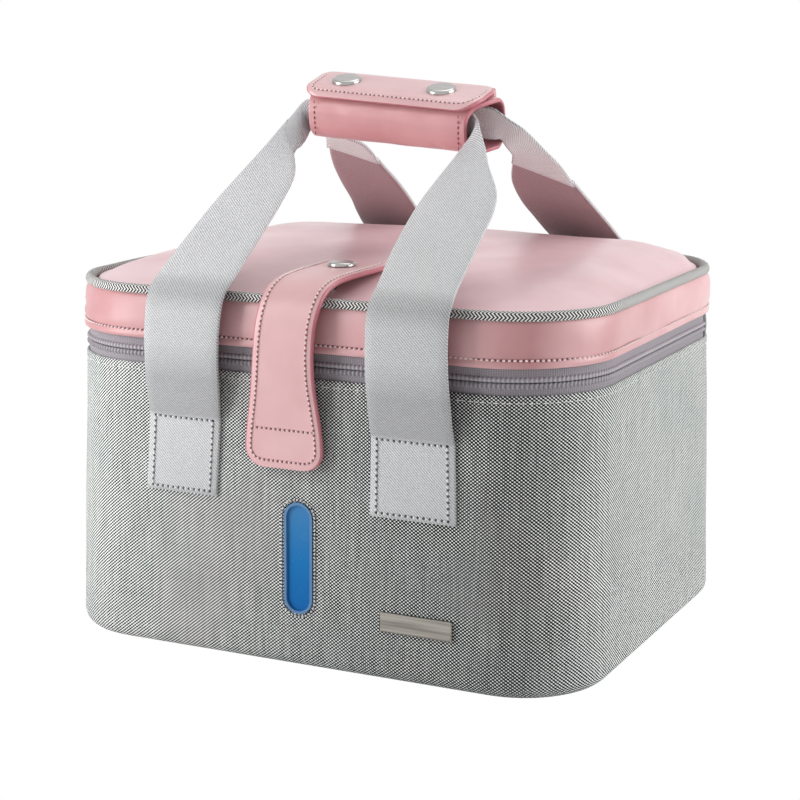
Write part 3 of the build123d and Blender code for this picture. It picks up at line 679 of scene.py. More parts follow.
def makeFoil():
    # crinkled reflective lining
    material, tree, vector = startMaterial("reflectiveFoil", "object")
    creases = addNode(tree, "ShaderNodeTexVoronoi", {"Vector": vector, "Scale": 90.0},
                      feature="DISTANCE_TO_EDGE").outputs["Distance"]
    soft = calc(tree, "MULTIPLY", noiseAt(tree, vector, 60.0, 3.0), 0.5)
    fold = calc(tree, "ADD", calc(tree, "MINIMUM", creases, 0.25), soft)
    color = blendColor(tree, noiseAt(tree, vector, 25.0), rgb(176, 180, 187), rgb(208, 211, 216))
    return finishMaterial(material, color, 0.3, fold, (0.5, 1.2), Metallic=0.9)


def makeGlassy(name, tone, roughness, transmission):
    material, tree, vector = startMaterial(name, "object")
    haze = noiseAt(tree, vector, 140.0, 2.0)
    return finishMaterial(material, tone, span(tree, haze, 0.3, 0.7, roughness, roughness + 0.08), haze, (0.03, 0.03),
                          Transmission_Weight=transmission, IOR=1.46)


bagCloth = makeBagCloth()
# painted shade along the straps: dark just above the sewn box and again at the shoulder crease, lightest above the
# crease
strapPaintedShade = [(0.0, 0.86), (1.0, 1.0), (0.18, 0.9), (0.195, 0.63), (0.29, 0.63), (0.38, 0.86),
              (0.45, 0.86), (0.49, 0.67), (0.52, 0.73), (0.56, 0.96)]
webbingFront = makeWebbing("webbing", rgb(250, 250, 251), rgb(166, 167, 172), strapPaintedShade)
# a lighter copy of the webbing for the folded strips at the top of the rear handle: painted light
webbingFoldPaintedLight = makeWebbing("webbingFoldPaintedLight", rgb(252, 254, 253), rgb(222, 224, 224), [(0.0, 1.0), (1.0, 1.0)])
# the inside's tone row is painted shade, darkest about 0.1 m along the strap
webbingBack = makeWebbing("webbingInside", rgb(204, 174, 178), rgb(148, 122, 127),
                          [(0.0, 0.86), (1.0, 1.0), (0.5, 0.7), (0.6, 0.78), (0.8, 1.0)])
panelLeather = makeLeather("lidLeather", rgb(240, 203, 208), rgb(231, 190, 195), 0.36, coat=0.2)
# painted shade on the band: darker round the front right corner, along the right side and towards the left
bandLeather = makeLeather("bandLeather", rgb(232, 184, 186), rgb(222, 168, 171), 0.36, coat=0.2, stops=[
    (0.0, 1.0), (1.0, 1.0), (0.25, 0.62), (0.36, 0.77), (0.42, 0.8), (0.48, 1.0), (0.72, 1.0), (0.745, 0.86),
    (0.77, 0.74), (0.785, 0.88), (0.8, 1.0), (0.82, 0.98), (0.85, 0.86), (0.93, 0.88)])
flapLeather = makeLeather("flapLeather", rgb(229, 184, 186), rgb(219, 171, 173), 0.38, coat=0.2)
# a lighter copy of the grip leather for the flap on top: painted light on its top
gripTopPaintedLight = makeLeather("gripTopPaintedLight", rgb(240, 196, 198), rgb(232, 184, 187), 0.3, coat=0.3)
gripLeather = makeLeather("gripLeather", rgb(229, 170, 172), rgb(217, 154, 157), 0.3, coat=0.3)
edgePaint = makeLeather("edgePaint", rgb(210, 130, 140), rgb(200, 116, 127), 0.3, 500.0, 0.02)
innerLeather = makeLeather("leatherInside", rgb(190, 120, 128), rgb(176, 106, 114), 0.6)
pinkThread = makeThread("pinkThread", rgb(255, 238, 236))
deepThread = makeThread("deepPinkThread", rgb(150, 84, 92))
# dark discs that paint shade in the needle holes
pinkHoleShade = makeThread("holeShadePink", rgb(132, 58, 68))
greyHoleShade = makeThread("holeShadeGrey", rgb(70, 72, 75))
greyThread = makeThread("greyThread", rgb(244, 245, 246))
clothThread = makeThread("clothThread", rgb(238, 238, 236))
clothHoleShade = makeThread("holeShadeCloth", rgb(24, 26, 30))
pipingCloth = makePipingCloth()
# the zip's cloths are painted darker in their grooves, as shade
zipCloth = makeZipCloth("zipCloth", rgb(166, 160, 166), rgb(136, 130, 137), (1.1, 0.75), 0.12)
zipRibs = makeZipCloth("zipRibs", rgb(184, 178, 184), rgb(122, 116, 123), (2.1, 6.0), 0.3)
gussetCloth = makeZipCloth("gussetCloth", rgb(150, 150, 152), rgb(112, 112, 115), (1.0, 1.0), 0.15)
brushedNickel = makeMetal("brushedNickel", rgb(164, 159, 151), 0.4, 700.0, 0.05, 0.55)
snapNickel = makeMetal("snapNickel", rgb(176, 174, 172), 0.22, 500.0, 0.006)
snapSteel = makeMetal("snapSteel", rgb(150, 148, 146), 0.3)
zipMetal = makeMetal("zipMetal", rgb(168, 163, 160), 0.28)
magnetSteel = makeMetal("magnetPlate", rgb(140, 140, 142), 0.3)
foil = makeFoil()
foam = makeMottled("closedFoam", ("ShaderNodeTexVoronoi", {"Scale": 700.0}, "Distance"), rgb(206, 206, 204),
                   rgb(236, 236, 233), 0.9, (0.5, 0.4))
board = makeMottled("greyBoard", noiseTexture(420.0, 4.0, 0.7), rgb(92, 92, 94), rgb(140, 139, 137), 0.85, (0.3, 0.2))
circuit = makeMottled("circuitBoard", ("ShaderNodeTexBrick", {"Scale": 260.0, "Mortar Size": 0.06}, "Fac"),
                      rgb(24, 92, 60), rgb(62, 132, 84), 0.35, (0.3, 0.06), Coat_Weight=0.4)
battery = makeMottled("batteryWrap", noiseTexture(120.0, 3.0), rgb(40, 70, 120), rgb(60, 96, 150), 0.35, (0.3, 0.4),
                      Coat_Weight=0.3)
bluePane = makeBluePane()
clearRim = makePlastic("clearRim", rgb(84, 132, 178), 0.18, 900.0, Coat_Weight=0.3)
whitePlastic = makePlastic("whitePlastic", rgb(232, 232, 230), 0.4)
buttonPlastic = makePlastic("buttonPlastic", rgb(238, 214, 216), 0.3)
lampLens = makePlastic("lampLens", rgb(214, 208, 236), 0.12, 2500.0, Coat_Weight=0.8)
quartz = makeGlassy("quartzPlate", rgb(236, 236, 248), 0.05, 0.9)
print("materials made:", len(bpy.data.materials))


# Sizes that the pieces share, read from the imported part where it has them

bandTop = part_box("lid_side_band")[1].z / mm
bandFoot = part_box("lid_side_band")[0].z / mm
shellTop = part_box("outer_shell")[1].z / mm
zipLevel = (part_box("zip_teeth_lower")[1].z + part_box("zip_teeth_upper")[0].z) / 2 / mm
shellSizes = {"foot": (281.6, 233.6, 43.5), "top": (277.8, 229.0, 50.0)}        # width, depth and corner radius
bandSizes = {"foot": (278.0, 230.5, 50.0), "top": (278.9, 224.8, 50.0)}
windowHole = {"axes": (0, 2), "centre": (1.5, 54.0), "half": (0.0, 19.5)}


def shellPlan(z):
    return [lerp(foot, top, z / shellTop) for foot, top in zip(shellSizes["foot"], shellSizes["top"])]


def bandPlan(z):
    t = (z - bandFoot) / (bandTop - bandFoot)
    return [lerp(foot, top, t) for foot, top in zip(bandSizes["foot"], bandSizes["top"])]


def frontY(z):
    return -shellPlan(z)[1] / 2


def grown(size, *extra):
    return [a + b for a, b in zip(size, extra)]


def frontSpan(columns, low, high):
    # first and last column of the front between two places across it
    straightHalf = 97
    inds = facing(columns, frontAngle)
    xs = columns[inds, 0] * straightHalf
    return inds[np.searchsorted(xs, low)], inds[np.searchsorted(xs, high)]


# Body shell of woven cloth

def wallShift(row, run, inset):
    # slight bulge and waves of a wall, calm round the window
    wall = {"bulge": 0.1, "waves": 0.55, "calmHalf": 22}
    (x0, z0), (x, y, z) = windowHole["centre"], row.T
    height = smoothstep(6, 45, z) * (1 - smoothstep(105, 138, z))
    front = smoothstep(60, 100, -y)
    out = wall["bulge"] * height * (1 - 0.75 * front)
    wave = waves(run, z, 0.0, 0.016, 3.0) + 0.5 * waves(run, z, 5.0, 0.04, 9.0)
    away = np.hypot(x - x0, np.maximum(0, np.abs(z - z0) - wall["calmHalf"]))
    return out + wave * wall["waves"] * height * (1 - 0.8 * smoothstep(28, 14, away) * front)


def makeBodyShell():
    # a seam is its stitches' pitch, length and radius
    shell = {"footRound": 7, "wallTop": 137, "wallRows": 34, "thickness": 1.9, "edge": (1.14, 136), "windowRadius": 7.5,
             "cellLevels": (17, 92), "cellReach": (-11.5, 14.5), "seamLevel": 137.2, "seam": (3.1, 2.1, 0.26),
             "rimRadius": 8.9, "rimSeam": (1.9, 1.3, 0.42)}
    columns = ringColumns(50, 38, 16, fine=(-0.15, 0.18, 23))
    r = shell["footRound"]
    turn = [(r - r * math.sin(math.radians(a)), r - r * math.cos(math.radians(a))) for a in range(0, 91, 15)]
    walls = list(np.linspace(r, shell["wallTop"], shell["wallRows"] + 1)[1:])
    outer = [(40, 0), (20, 0), (10, 0)] + turn + [(0, z) for z in walls]
    outer += [(-0.15, 138.4), (-0.25, 139.3), (-0.1, 140.1), (0.4, 140.5), (0.95, 140.4), (1.12, 139.6), shell["edge"]]
    parts = newParts()
    spots, cloth = sweepRings(columns, shellPlan, outer, wallShift)
    k0, k1 = [outer.index((0, walls[0])) + int(np.searchsorted(walls, z)) for z in shell["cellLevels"]]
    k0 -= 1
    i0, i1 = frontSpan(columns, *shell["cellReach"])
    hole = dict(windowHole, radius=shell["windowRadius"])
    start = addGrid(parts, spots, cloth, skip=(k0, k1, i0, i1), capFirst=True)
    cutSlot(parts, start, spots, cloth, (k0, k1, i0, i1), depth=(0, 2.0, 0), **hole)
    inner = [shell["edge"], (1.16, 134.5), (1.9, 133.3)] + [(shell["thickness"], z) for z in walls[::-1] if z < 133]
    inner += [(2.4, 5), (4.5, 2.6), (8, 1.9), (40, 1.9)]
    spots, cloth = sweepRings(columns, shellPlan, inner, wallShift)
    rowZ = spots[:, i0, 2]
    low, high = [int(np.argmin(np.abs(rowZ - outer[k][1]))) for k in (k1, k0)]
    start = addGrid(parts, spots, cloth, skip=(low, high, i0, i1), capLast=True)
    cutSlot(parts, start, spots, cloth, (low, high, i0, i1), depth=(0, -0.1, 0), **hole)
    piece = makePiece("bodyShell", parts, [bagCloth], "body", ["outer_shell"])
    thread = newParts()
    addRingStitches(thread, columns, grown(shellPlan(shell["wallTop"] + 0.6), 0.2, 0.2, 0.1), shell["seamLevel"],
                    *shell["seam"])
    (x0, z0), rise, r = windowHole["centre"], windowHole["half"][1], shell["rimRadius"]
    turns = [(math.radians(a % 360), rise if a % 360 < 180 else -rise) for a in range(0, 370, 10)]
    slot = [(x0 + r * math.cos(a), z0 + end + r * math.sin(a)) for a, end in turns]
    rim = np.array([(x, frontY(z) - 0.15, z) for x, z in slot])
    addStitches(thread, rim, np.tile((0.0, -1.0, 0.0), (len(rim), 1)), *shell["rimSeam"], 0, sink=0.1, hole=1)
    makePiece("rimStitches", thread, [clothThread, clothHoleShade], "body")


makeBodyShell()
print("body shell done")


# Reflective lining of the body

def makeInnerLining():
    # inset of its faces, its cells that are cut for the window, and the window's radius
    lining = {"inner": 7.8, "outer": 7.1, "cellLevels": (19, 94), "cellReach": (-12, 15), "windowRadius": 7.4}
    columns = ringColumns(50, 38, 12, fine=(-0.17, 0.2, 13))
    walls = list(np.linspace(14, 132, 30))
    faceIn = [(2.3, 138.5), (4.5, 138.55), (6.6, 138.3), (7.7, 137.2), (7.8, 134)]
    faceIn += [(lining["inner"], z) for z in walls[::-1]] + [(8.2, 9.5), (9.8, 6.8), (13, 5.85), (34, 5.8)]

    def crinkle(row, run, inset):
        z = row[:, 2]
        height = smoothstep(8, 25, z) * (1 - smoothstep(118, 136, z))
        return waves(run, z, 2.0, 0.05, 5.0) * 0.5 * height - 0.2 * height

    spots, cloth = sweepRings(columns, shellPlan, faceIn, crinkle)
    i0, i1 = frontSpan(columns, *lining["cellReach"])
    zRow = spots[:, i0, 2]
    low, high = lining["cellLevels"]
    cells = (firstWhere(zRow < high), firstWhere(zRow < low), i0, i1)
    hole = dict(windowHole, radius=lining["windowRadius"])
    parts = newParts()
    start = addGrid(parts, spots, cloth, skip=cells, capLast=True)
    cutSlot(parts, start, spots, cloth, cells, depth=(0, -0.6, 0), **hole)
    edge = lining["outer"]
    back = [(edge if i > edge else i, z - (0.7 if i < edge else 0.0)) for i, z in faceIn[:-4]]
    back += [(7.3, 9.5), (9.4, 6.2), (13, 5.15), (34, 5.1)]
    spots, cloth = sweepRings(columns, shellPlan, back[::-1])
    zRow = spots[:, i0, 2]
    cells = (firstWhere(zRow > low), firstWhere(zRow > high), i0, i1)
    start = addGrid(parts, spots, cloth, skip=cells, capFirst=True)
    cutSlot(parts, start, spots, cloth, cells, depth=(0, 0.1, 0), **hole)
    makePiece("foilLining", parts, [foil], "body", ["inner_liner"])


makeInnerLining()


# Lid: side band, piping and padded top

def makeLidBand():
    band = {"seamLevel": 156.4, "seam": (2.5, 1.4, 0.48), "socket": (30.0, 163.5), "socketHalf": 2.95,
            "socketRadius": 1.95, "cellRows": (11, 14), "cellReach": (40, 19), "straightHalf": 62}
    columns = ringColumns(50, 40, 16)
    outer = [(2.3, 153.6), (2.1, 152.75), (1.3, 152.45), (0.4, 152.6), (-0.35, 153.1), (-0.6, 154.2), (-0.5, 155.3),
             (-0.1, 156.0), (-0.02, 156.5), (-0.15, 157.1), (-0.55, 158.4), (-0.85, 160.5), (-0.95, 163),
             (-0.95, 165.5), (-0.85, 168), (-0.6, 170), (-0.1, 171.8), (0.7, 173.2), (1.8, 173.9), (3.2, 173.9),
             (4.6, 173.3), (4.6, 172.2), (2.4, 171.6), (2.2, 168), (2.2, 160)]

    def soften(row, run, inset):
        # cushioned, with a crease across the left front corner
        x, y, z = row.T
        height = smoothstep(153, 160, z) * (1 - smoothstep(168, 173, z))
        wave = waves(run, z * 1.5, 1.0, 0.03, 2.0) * 0.7 + waves(run, z * 2.0, 4.0, 0.085, 6.0) * 0.3
        corner = np.exp(-((x + 122) / 22) ** 2) * smoothstep(60, 90, -y)
        crease = -0.9 * corner * np.exp(-((z - (164 + 0.10 * (x + 122))) / 1.6) ** 2)
        return (wave * 0.9 + crease) * height

    spots, cloth = sweepRings(columns, bandPlan, outer, soften)
    left = facing(columns, leftAngle)
    ys = columns[left, 1] * band["straightHalf"]
    cells = band["cellRows"] + tuple(left[firstWhere(ys < y)] for y in band["cellReach"])
    parts = newParts()
    start = addGrid(parts, spots, cloth, closed=True, skip=cells)
    cutSlot(parts, start, spots, cloth, cells, (1, 2), band["socket"], (band["socketHalf"], 0.0),
            band["socketRadius"], (1.4, 0, 0), steps=3)
    makePiece("lidBand", parts, [bandLeather], "lid", ["lid_side_band"])
    thread = newParts()
    z = band["seamLevel"]
    addRingStitches(thread, columns, grown(bandPlan(z), 0.1, 0.1, 0), z, *band["seam"], sink=0.0, hole=1)
    makePiece("bandStitches", thread, [pinkThread, pinkHoleShade], "lid")


def makeLidPiping():
    cord = {"radius": 2.4, "inset": 1.7, "sides": 16, "wander": 0.25}
    columns = ringColumns(60, 46, 18)
    low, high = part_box("lid_piping")
    middle = (low.z + high.z) / 2 / mm
    turns = [2 * math.pi * s / cord["sides"] - math.pi / 2 for s in range(cord["sides"] + 1)]
    profile = [(cord["inset"] - cord["radius"] * math.cos(a), middle + cord["radius"] * math.sin(a)) for a in turns]

    def wander(run):
        return waves(run, np.zeros(len(run)), 0, 0.05, 8.0) * cord["wander"]

    spots, cloth = sweepRings(columns, lambda z: bandPlan(bandTop), profile, lambda row, run, inset: wander(run))
    spots[:, :, 2] += [wander(run) * 0.6 for run in cloth[:, :, 0]]
    parts = newParts()
    addGrid(parts, spots, cloth)
    makePiece("lidPiping", parts, [pipingCloth], "lid", ["lid_piping"])


panel = {"width": 264.0, "depth": 214.0, "corner": 45.0, "skirt": 176.0, "rise": 11.0, "lift": 0.25,
         "sideRun": 35.0, "frontRun": 100.0, "cornerDraw": 33.0, "puff": 2.6, "hole": 6.6, "button": (3.0, -92.0),
         "cellDepths": (-100.2, -83.5), "cellReach": (-6.5, 12.5), "rowStep": 1.6}


def panelRing(columns, t, grow=0.0):
    # outline of the padded top where its rise has run a share t of the way, drawn in faster from the front
    draw = (panel["frontRun"] + panel["sideRun"]) * t
    xy, _, run = ring(columns, panel["width"] - 2 * panel["sideRun"] * t + 2 * grow,
                      panel["depth"] - draw + 2 * grow, panel["corner"] - panel["cornerDraw"] * t + grow)
    return xy + np.array([0.0, (panel["frontRun"] - panel["sideRun"]) * t / 2]), run


def makeTopPanel():
    columns = ringColumns(56, 44, 16, fine=(-0.12, 0.19, 17))
    middle = np.array([0.0, (panel["frontRun"] - panel["sideRun"]) / 2])
    rows = [(0.0, 1.6, 174.4), (0.0, 1.5, 175.2), (0.0, 1.1, 175.9), (0.0, 0.4, 176.35)]
    shares = [0.012, 0.03, 0.05] + list(np.linspace(0.07, 0.25, 10)) + list(np.linspace(0.28, 1, 22))
    rows += [(t, 0.0, panel["skirt"] + panel["lift"] + panel["rise"] * (1 - (1 - t) ** 2)) for t in shares]
    rings = [(panelRing(columns, t, grow), z) for t, grow, z in rows]
    (last, lastRun), top = rings[-1]
    rings += [((middle + (last - middle) * s, lastRun), top) for s in np.linspace(0.93, 0.05, 18)]
    spots, cloth = [], []
    for k, ((p, run), z) in enumerate(rings):
        # fullest towards the back, calm round the button
        inside = min(max(0, k - 3) * panel["rowStep"], 40.0)
        x, y = p[:, 0], p[:, 1]
        puff = panel["puff"] * np.exp(-(x / 95) ** 2 - ((y - 48) / 44) ** 2)
        puff = puff + 1.6 * smoothstep(0, 80, y) * math.exp(-((inside - 12) / 12) ** 2)
        wave = waves(x, y, 3.0, 0.022, 4.0) * 0.7
        ripple = waves(run, np.zeros(len(run)), 7.0, 0.06, 1.0) * 0.5 * math.exp(-inside / 9.0)
        calm = smoothstep(20, 45, np.hypot(x - 3, (y + 80) * 0.7))
        share = float(smoothstep(0, 12, inside))
        z = z + (puff + wave * calm) * share + ripple * float(smoothstep(0, 3, inside))
        spots.append(np.column_stack([p, z]))
        cloth.append(np.column_stack([p, np.zeros(len(p))]))
    spots, cloth = np.array(spots), np.array(cloth)
    front = facing(columns, frontAngle)
    yRow = spots[:, front[len(front) // 2], 1]
    k0, k1 = [firstWhere(yRow > y) for y in panel["cellDepths"]]
    xs = spots[(k0 + k1) // 2, front, 0]
    i0, i1 = [front[np.searchsorted(xs, x)] for x in panel["cellReach"]]
    parts = newParts()
    start = addGrid(parts, spots, cloth, skip=(k0, k1, i0, i1), capLast=True)
    cutSlot(parts, start, spots, cloth, (k0, k1, i0, i1), (0, 1), panel["button"], (0.0, 0.0), panel["hole"],
            (0, 0, -1.6), steps=4)
    piece = makePiece("lidTopPanel", parts, [panelLeather], "lid", ["lid_top_panel"])


makeLidBand()
makeLidPiping()
makeTopPanel()
print("lid done")


# Zip: two tapes with their rows of teeth, and the cloth that closes the back

zipLook = {"endAngle": 171.4, "rowDepth": 1.25, "rowHeight": 2.5, "gap": 0.14, "toothPitch": 2.1, "inset": 1.2,
           "tape": 0.85, "tapeFoot": 134.0, "teethInset": 1.05, "teethBack": 1.6, "ribDepth": 0.34}


def makeZipTape(name, node, body, side):
    columns = ringColumns(60, 46, 14, rearAngle=zipLook["endAngle"])
    z0 = zipLevel + side * zipLook["gap"]
    zEnd = zipLook["tapeFoot"] if side < 0 else bandFoot + 0.9
    stops = np.linspace(0, 1, 7)
    profile = [(zipLook["inset"] - 0.1, lerp(z0, zEnd, t)) for t in stops]
    profile += [(zipLook["inset"] - 0.1 + zipLook["tape"], lerp(zEnd, z0, t)) for t in stops]

    def slack(row, run, inset):
        return waves(run, row[:, 2], 6.0, 0.03, 12.0) * 0.25

    spots, cloth = sweepRings(columns, shellPlan, profile[::side], slack if side > 0 else None)
    parts = newParts()
    addGrid(parts, spots, cloth, closed=True, capEnds=True)
    makePiece(name, parts, [zipCloth], body, [node])


def makeZipTeeth(name, node, body, side):
    # one ridge per row, ribbed by its teeth
    columns = ringColumns(520, 390, 140, rearAngle=zipLook["endAngle"])
    z0 = zipLevel + side * zipLook["gap"]
    z1 = z0 + side * zipLook["rowHeight"]
    profile = [(zipLook["teethInset"] - zipLook["rowDepth"] * math.sin(math.pi * t) ** 0.7, lerp(z0, z1, t))
               for t in np.linspace(0, 1, 9)]
    profile += [(zipLook["teethBack"], z1), (zipLook["teethBack"], z0)]

    def ribs(row, run, inset):
        wave = np.abs(np.sin(np.pi * run / zipLook["toothPitch"]))
        depth = zipLook["ribDepth"] * np.clip((zipLook["teethInset"] - inset) / zipLook["rowDepth"], 0, 1)
        return (wave ** 0.6 - 1.0) * depth

    spots, cloth = sweepRings(columns, shellPlan, profile[::side], ribs)
    parts = newParts()
    addGrid(parts, spots, cloth, closed=True, capEnds=True)
    makePiece(name, parts, [zipRibs], body, [node])


makeZipTape("zipTapeLower", "zip_tape_lower", "body", -1)
makeZipTape("zipTapeUpper", "zip_tape_upper", "lid", 1)
makeZipTeeth("zipTeethLower", "zip_teeth_lower", "body", -1)
makeZipTeeth("zipTeethUpper", "zip_teeth_upper", "lid", 1)


def makeGusset():
    # back cloth from the right end of the zip to its left end, bowed in a little at half its height
    gusset = {"inset": 0.5, "bow": 0.5, "thickness": 0.9, "startAngle": 8.2, "overlap": 0.3}
    first = gusset["startAngle"]
    columns = [(1, 1, a) for a in np.linspace(first, 90, 20, endpoint=False)]
    columns += [(t, 1, 90) for t in np.linspace(1, -1, 60, endpoint=False)]
    columns += [(-1, 1, a) for a in np.linspace(90, 180 - first, 21)]
    columns = np.array(columns, float)
    low, high = shellTop - gusset["overlap"], bandFoot + gusset["overlap"]
    rows = [(gusset["inset"] - gusset["bow"] * math.sin(math.pi * t), lerp(low, high, t)) for t in np.linspace(0, 1, 9)]
    rows += [(inset + gusset["thickness"], z) for inset, z in rows[::-1]]
    spots, cloth = sweepRings(columns, shellPlan, rows)
    cloth[:, :, 1] = spots[:, :, 2]
    parts = newParts()
    addGrid(parts, spots, cloth, closed=True, capEnds=True)
    piece = makePiece("hingeGusset", parts, [gussetCloth], None, ["hinge_gusset"])
    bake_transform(piece)


makeGusset()
print("zip done")


# Flaps: their rounded ends and the seam along their rim

def roundedOff(end, radius):
    # what a rounded corner takes off a flap's half width at a distance from its end
    return radius - math.sqrt(max(0.0, radius ** 2 - (radius - end) ** 2)) if end < radius else 0.0


def marksAlong(run, first, clear, last):
    # places along a flap: even ones, which leave its two ends clear, and closer ones at the ends
    total = run[-1]
    even = [v for v in run if clear[0] < v < total - clear[1]]
    return np.array(sorted(set(first + even + [total - v for v in last])))


def flapEdges(rows, run, marks, *halves):
    centre = np.column_stack([np.interp(marks, run, rows[:, c]) for c in range(3)])
    return [centre + sign * np.array([(half(v), 0, 0) for v in marks]) for sign, half in zip((1, -1), halves)]


def rimSeam(sides, marks, total, inset, places, footCount):
    # (share across, index along) down one side of a flap, across its foot and up the other side; each side is
    # its half width, the same without the rounding, and the radius at the foot
    (oneHalf, oneFull, oneRound), (otherHalf, otherFull, otherRound) = sides

    def down(half, full, r, sign):
        out = []
        for v in places:
            end = total - v
            x = half(v) - inset if end > r else full(v) - r + math.sqrt(max(0.01, (r - inset) ** 2 - (r - end) ** 2))
            out.append((sign * x, v))
        return out

    foot = np.linspace(oneFull(total) - oneRound, otherRound - otherFull(total), footCount)
    line = down(*sides[0], 1) + [(x, total - inset) for x in foot] + down(*sides[1], -1)[::-1]
    return [((oneHalf(v) - x) / (oneHalf(v) + otherHalf(v)), indexAt(v, marks)) for x, v in line]


# Closure flap

flap = {"thickness": 2.6, "rim": 3.4, "endRound": 9.5, "anchorRound": 11.0, "barPlace": 18.8,
        "seam": (2.4, 1.3, 0.46)}


def makeClosureFlap():
    # (x, y, z, half width) from the sewn end on the lid down to the round end on the body
    line = [(4.2, -53.4, 185.9, 17.4), (4.1, -60, 186.0, 17.4), (3.9, -74, 185.9, 17.2), (3.4, -86, 185.7, 16.9),
            (2.8, -96, 185.2, 16.5), (2.1, -104, 184.3, 16.2), (1.4, -110.5, 182.3, 15.9), (0.8, -116, 178.8, 15.8),
            (0.2, -120, 173, 15.7), (-0.4, -122.4, 166.5, 15.6), (-1.0, -123.3, 158.5, 15.7), (-1.8, -122.9, 150, 15.9),
            (-2.5, -121.8, 139, 16.6), (-3.1, -120.2, 127, 18.2), (-3.7, -118.9, 116, 19.8), (-4.0, -118.5, 107, 20.5),
            (-4.0, -118.75, 97.6, 20.7)]
    rows, run = smoothRun(line, 2.6)
    total, inset = run[-1], flap["rim"]

    def full(v):
        return np.interp(v, run, rows[:, 3])

    def half(v):
        return full(v) - roundedOff(total - v, flap["endRound"]) - roundedOff(v, flap["anchorRound"])

    marks = marksAlong(run, [0.02, 0.3, 0.9, 1.8, 3.0], (4, 9), (0.02, 0.25, 0.7, 1.4, 2.4, 3.8, 5.6, 7.6))
    left, right = flapEdges(rows, run, marks, half, half)
    parts = newParts()
    addRibbon(parts, left, right, marks, flap["thickness"], steps=14)
    side = (half, full, flap["endRound"])
    seam = rimSeam((side, side), marks, total, inset, np.arange(5.5, total - inset - 0.5, 1.3), 12)
    bar = [(share, indexAt(total - flap["barPlace"], marks)) for share in np.linspace(0.1, 0.9, 12)]
    for line in (seam, bar):
        spots, normals = onRibbon(left, right, line, flap["thickness"])
        addStitches(parts, spots, normals, *flap["seam"], 3, sink=0.0, hole=4)
    piece = makePiece("closureFlap", parts, [flapLeather, edgePaint, innerLeather, pinkThread, pinkHoleShade], None,
                      ["closure_flap", "flap_anchor"])
    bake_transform(piece)


makeClosureFlap()
print("flap done")


# Handles: webbing with sewn ends, folded into the grip

gripPose = {"level": 253.0, "tilt": 15.0, "roll": 4.0}


def posed(x, y, z):
    # the grip leans towards the front and dips at its right end
    a, b = math.radians(gripPose["tilt"]), math.radians(gripPose["roll"])
    z = z - gripPose["level"]
    x, z = x * math.cos(b) + z * math.sin(b), z * math.cos(b) - x * math.sin(b)
    y, z = y * math.cos(a) - z * math.sin(a), y * math.sin(a) + z * math.cos(a)
    return (x, y, z + gripPose["level"])


def poseParts(parts):
    parts["verts"] = [posed(*v) for v in parts["verts"]]


# A row of a strap is its two edges' places, x, y and z of one edge and then of the other

strap = {"bulge": 0.25, "thickness": 1.8, "boxTop": 116.3, "boxFoot": 81.6, "boxInset": 3.6, "boxRows": 22,
         "seam": (2.9, 1.7, 0.5),
         "sewn": ((79.6, 1.0), (86, 0.95), (94, 0.95), (103, 0.95), (111, 1.0), (117, 1.25)),
         "rise": ((118.9, 124), (121.2, 134), (123.3, 146), (124.0, 158), (123.3, 169), (121.3, 176.4), (117.5, 180.2))}


def addStrap(parts, points, slots=(0, 0, 1)):
    rows, run = smoothRun(points, 3.0)
    left, right = rows[:, :3], rows[:, 3:6]
    addRibbon(parts, left, right, run, strap["thickness"], slots, steps=10, cup=strap["bulge"])
    return left, right


def addStitchedBox(parts, left, right):
    middle = (left[:strap["boxRows"], 2] + right[:strap["boxRows"], 2]) / 2
    foot, top = [indexAt(z, middle) for z in (strap["boxFoot"], strap["boxTop"])]
    e = strap["boxInset"] / np.linalg.norm(right[0] - left[0])
    corners = [(e, foot), (1 - e, foot), (1 - e, top), (e, top), (e, foot)]
    for one, other in zip(corners, corners[1:]):
        line = [(lerp(one[0], other[0], t), lerp(one[1], other[1], t)) for t in np.linspace(0, 1, 9)]
        spots, normals = onRibbon(left, right, line, strap["thickness"])
        spots += normals * np.array([strap["bulge"] * 4 * share * (1 - share) for share, _ in line])[:, None]
        addStitches(parts, spots, normals, *strap["seam"], 2, sink=0.0, hole=3)


def sewnRows(x, other, topX, topOther):
    # the flat sewn end on the front
    rows, (foot, _), (top, _) = [], strap["sewn"][0], strap["sewn"][-1]
    for z, off in strap["sewn"]:
        t, y = (z - foot) / (top - foot), frontY(z) - off
        rows.append((lerp(x, topX, t), y, z, lerp(other, topOther, t), y, z))
    return rows


def sewnAtBack(*xs):
    # the same at the back, where the edge with the larger x comes first, so that the outer face looks back
    return [(x2, -y2, z2, x1, -y1, z1) for x1, y1, z1, x2, y2, z2 in sewnRows(*xs)]


def risingRows(side, xs, others):
    # the bulge up to the shoulder crease; side is -1 at the front and 1 at the back
    return [(x, side * y, z, other, side * y, z) for (y, z), x, other in zip(strap["rise"], xs, others)]


def posedRows(*rows):
    return [posed(*row[:3]) + posed(*row[3:]) for row in rows]


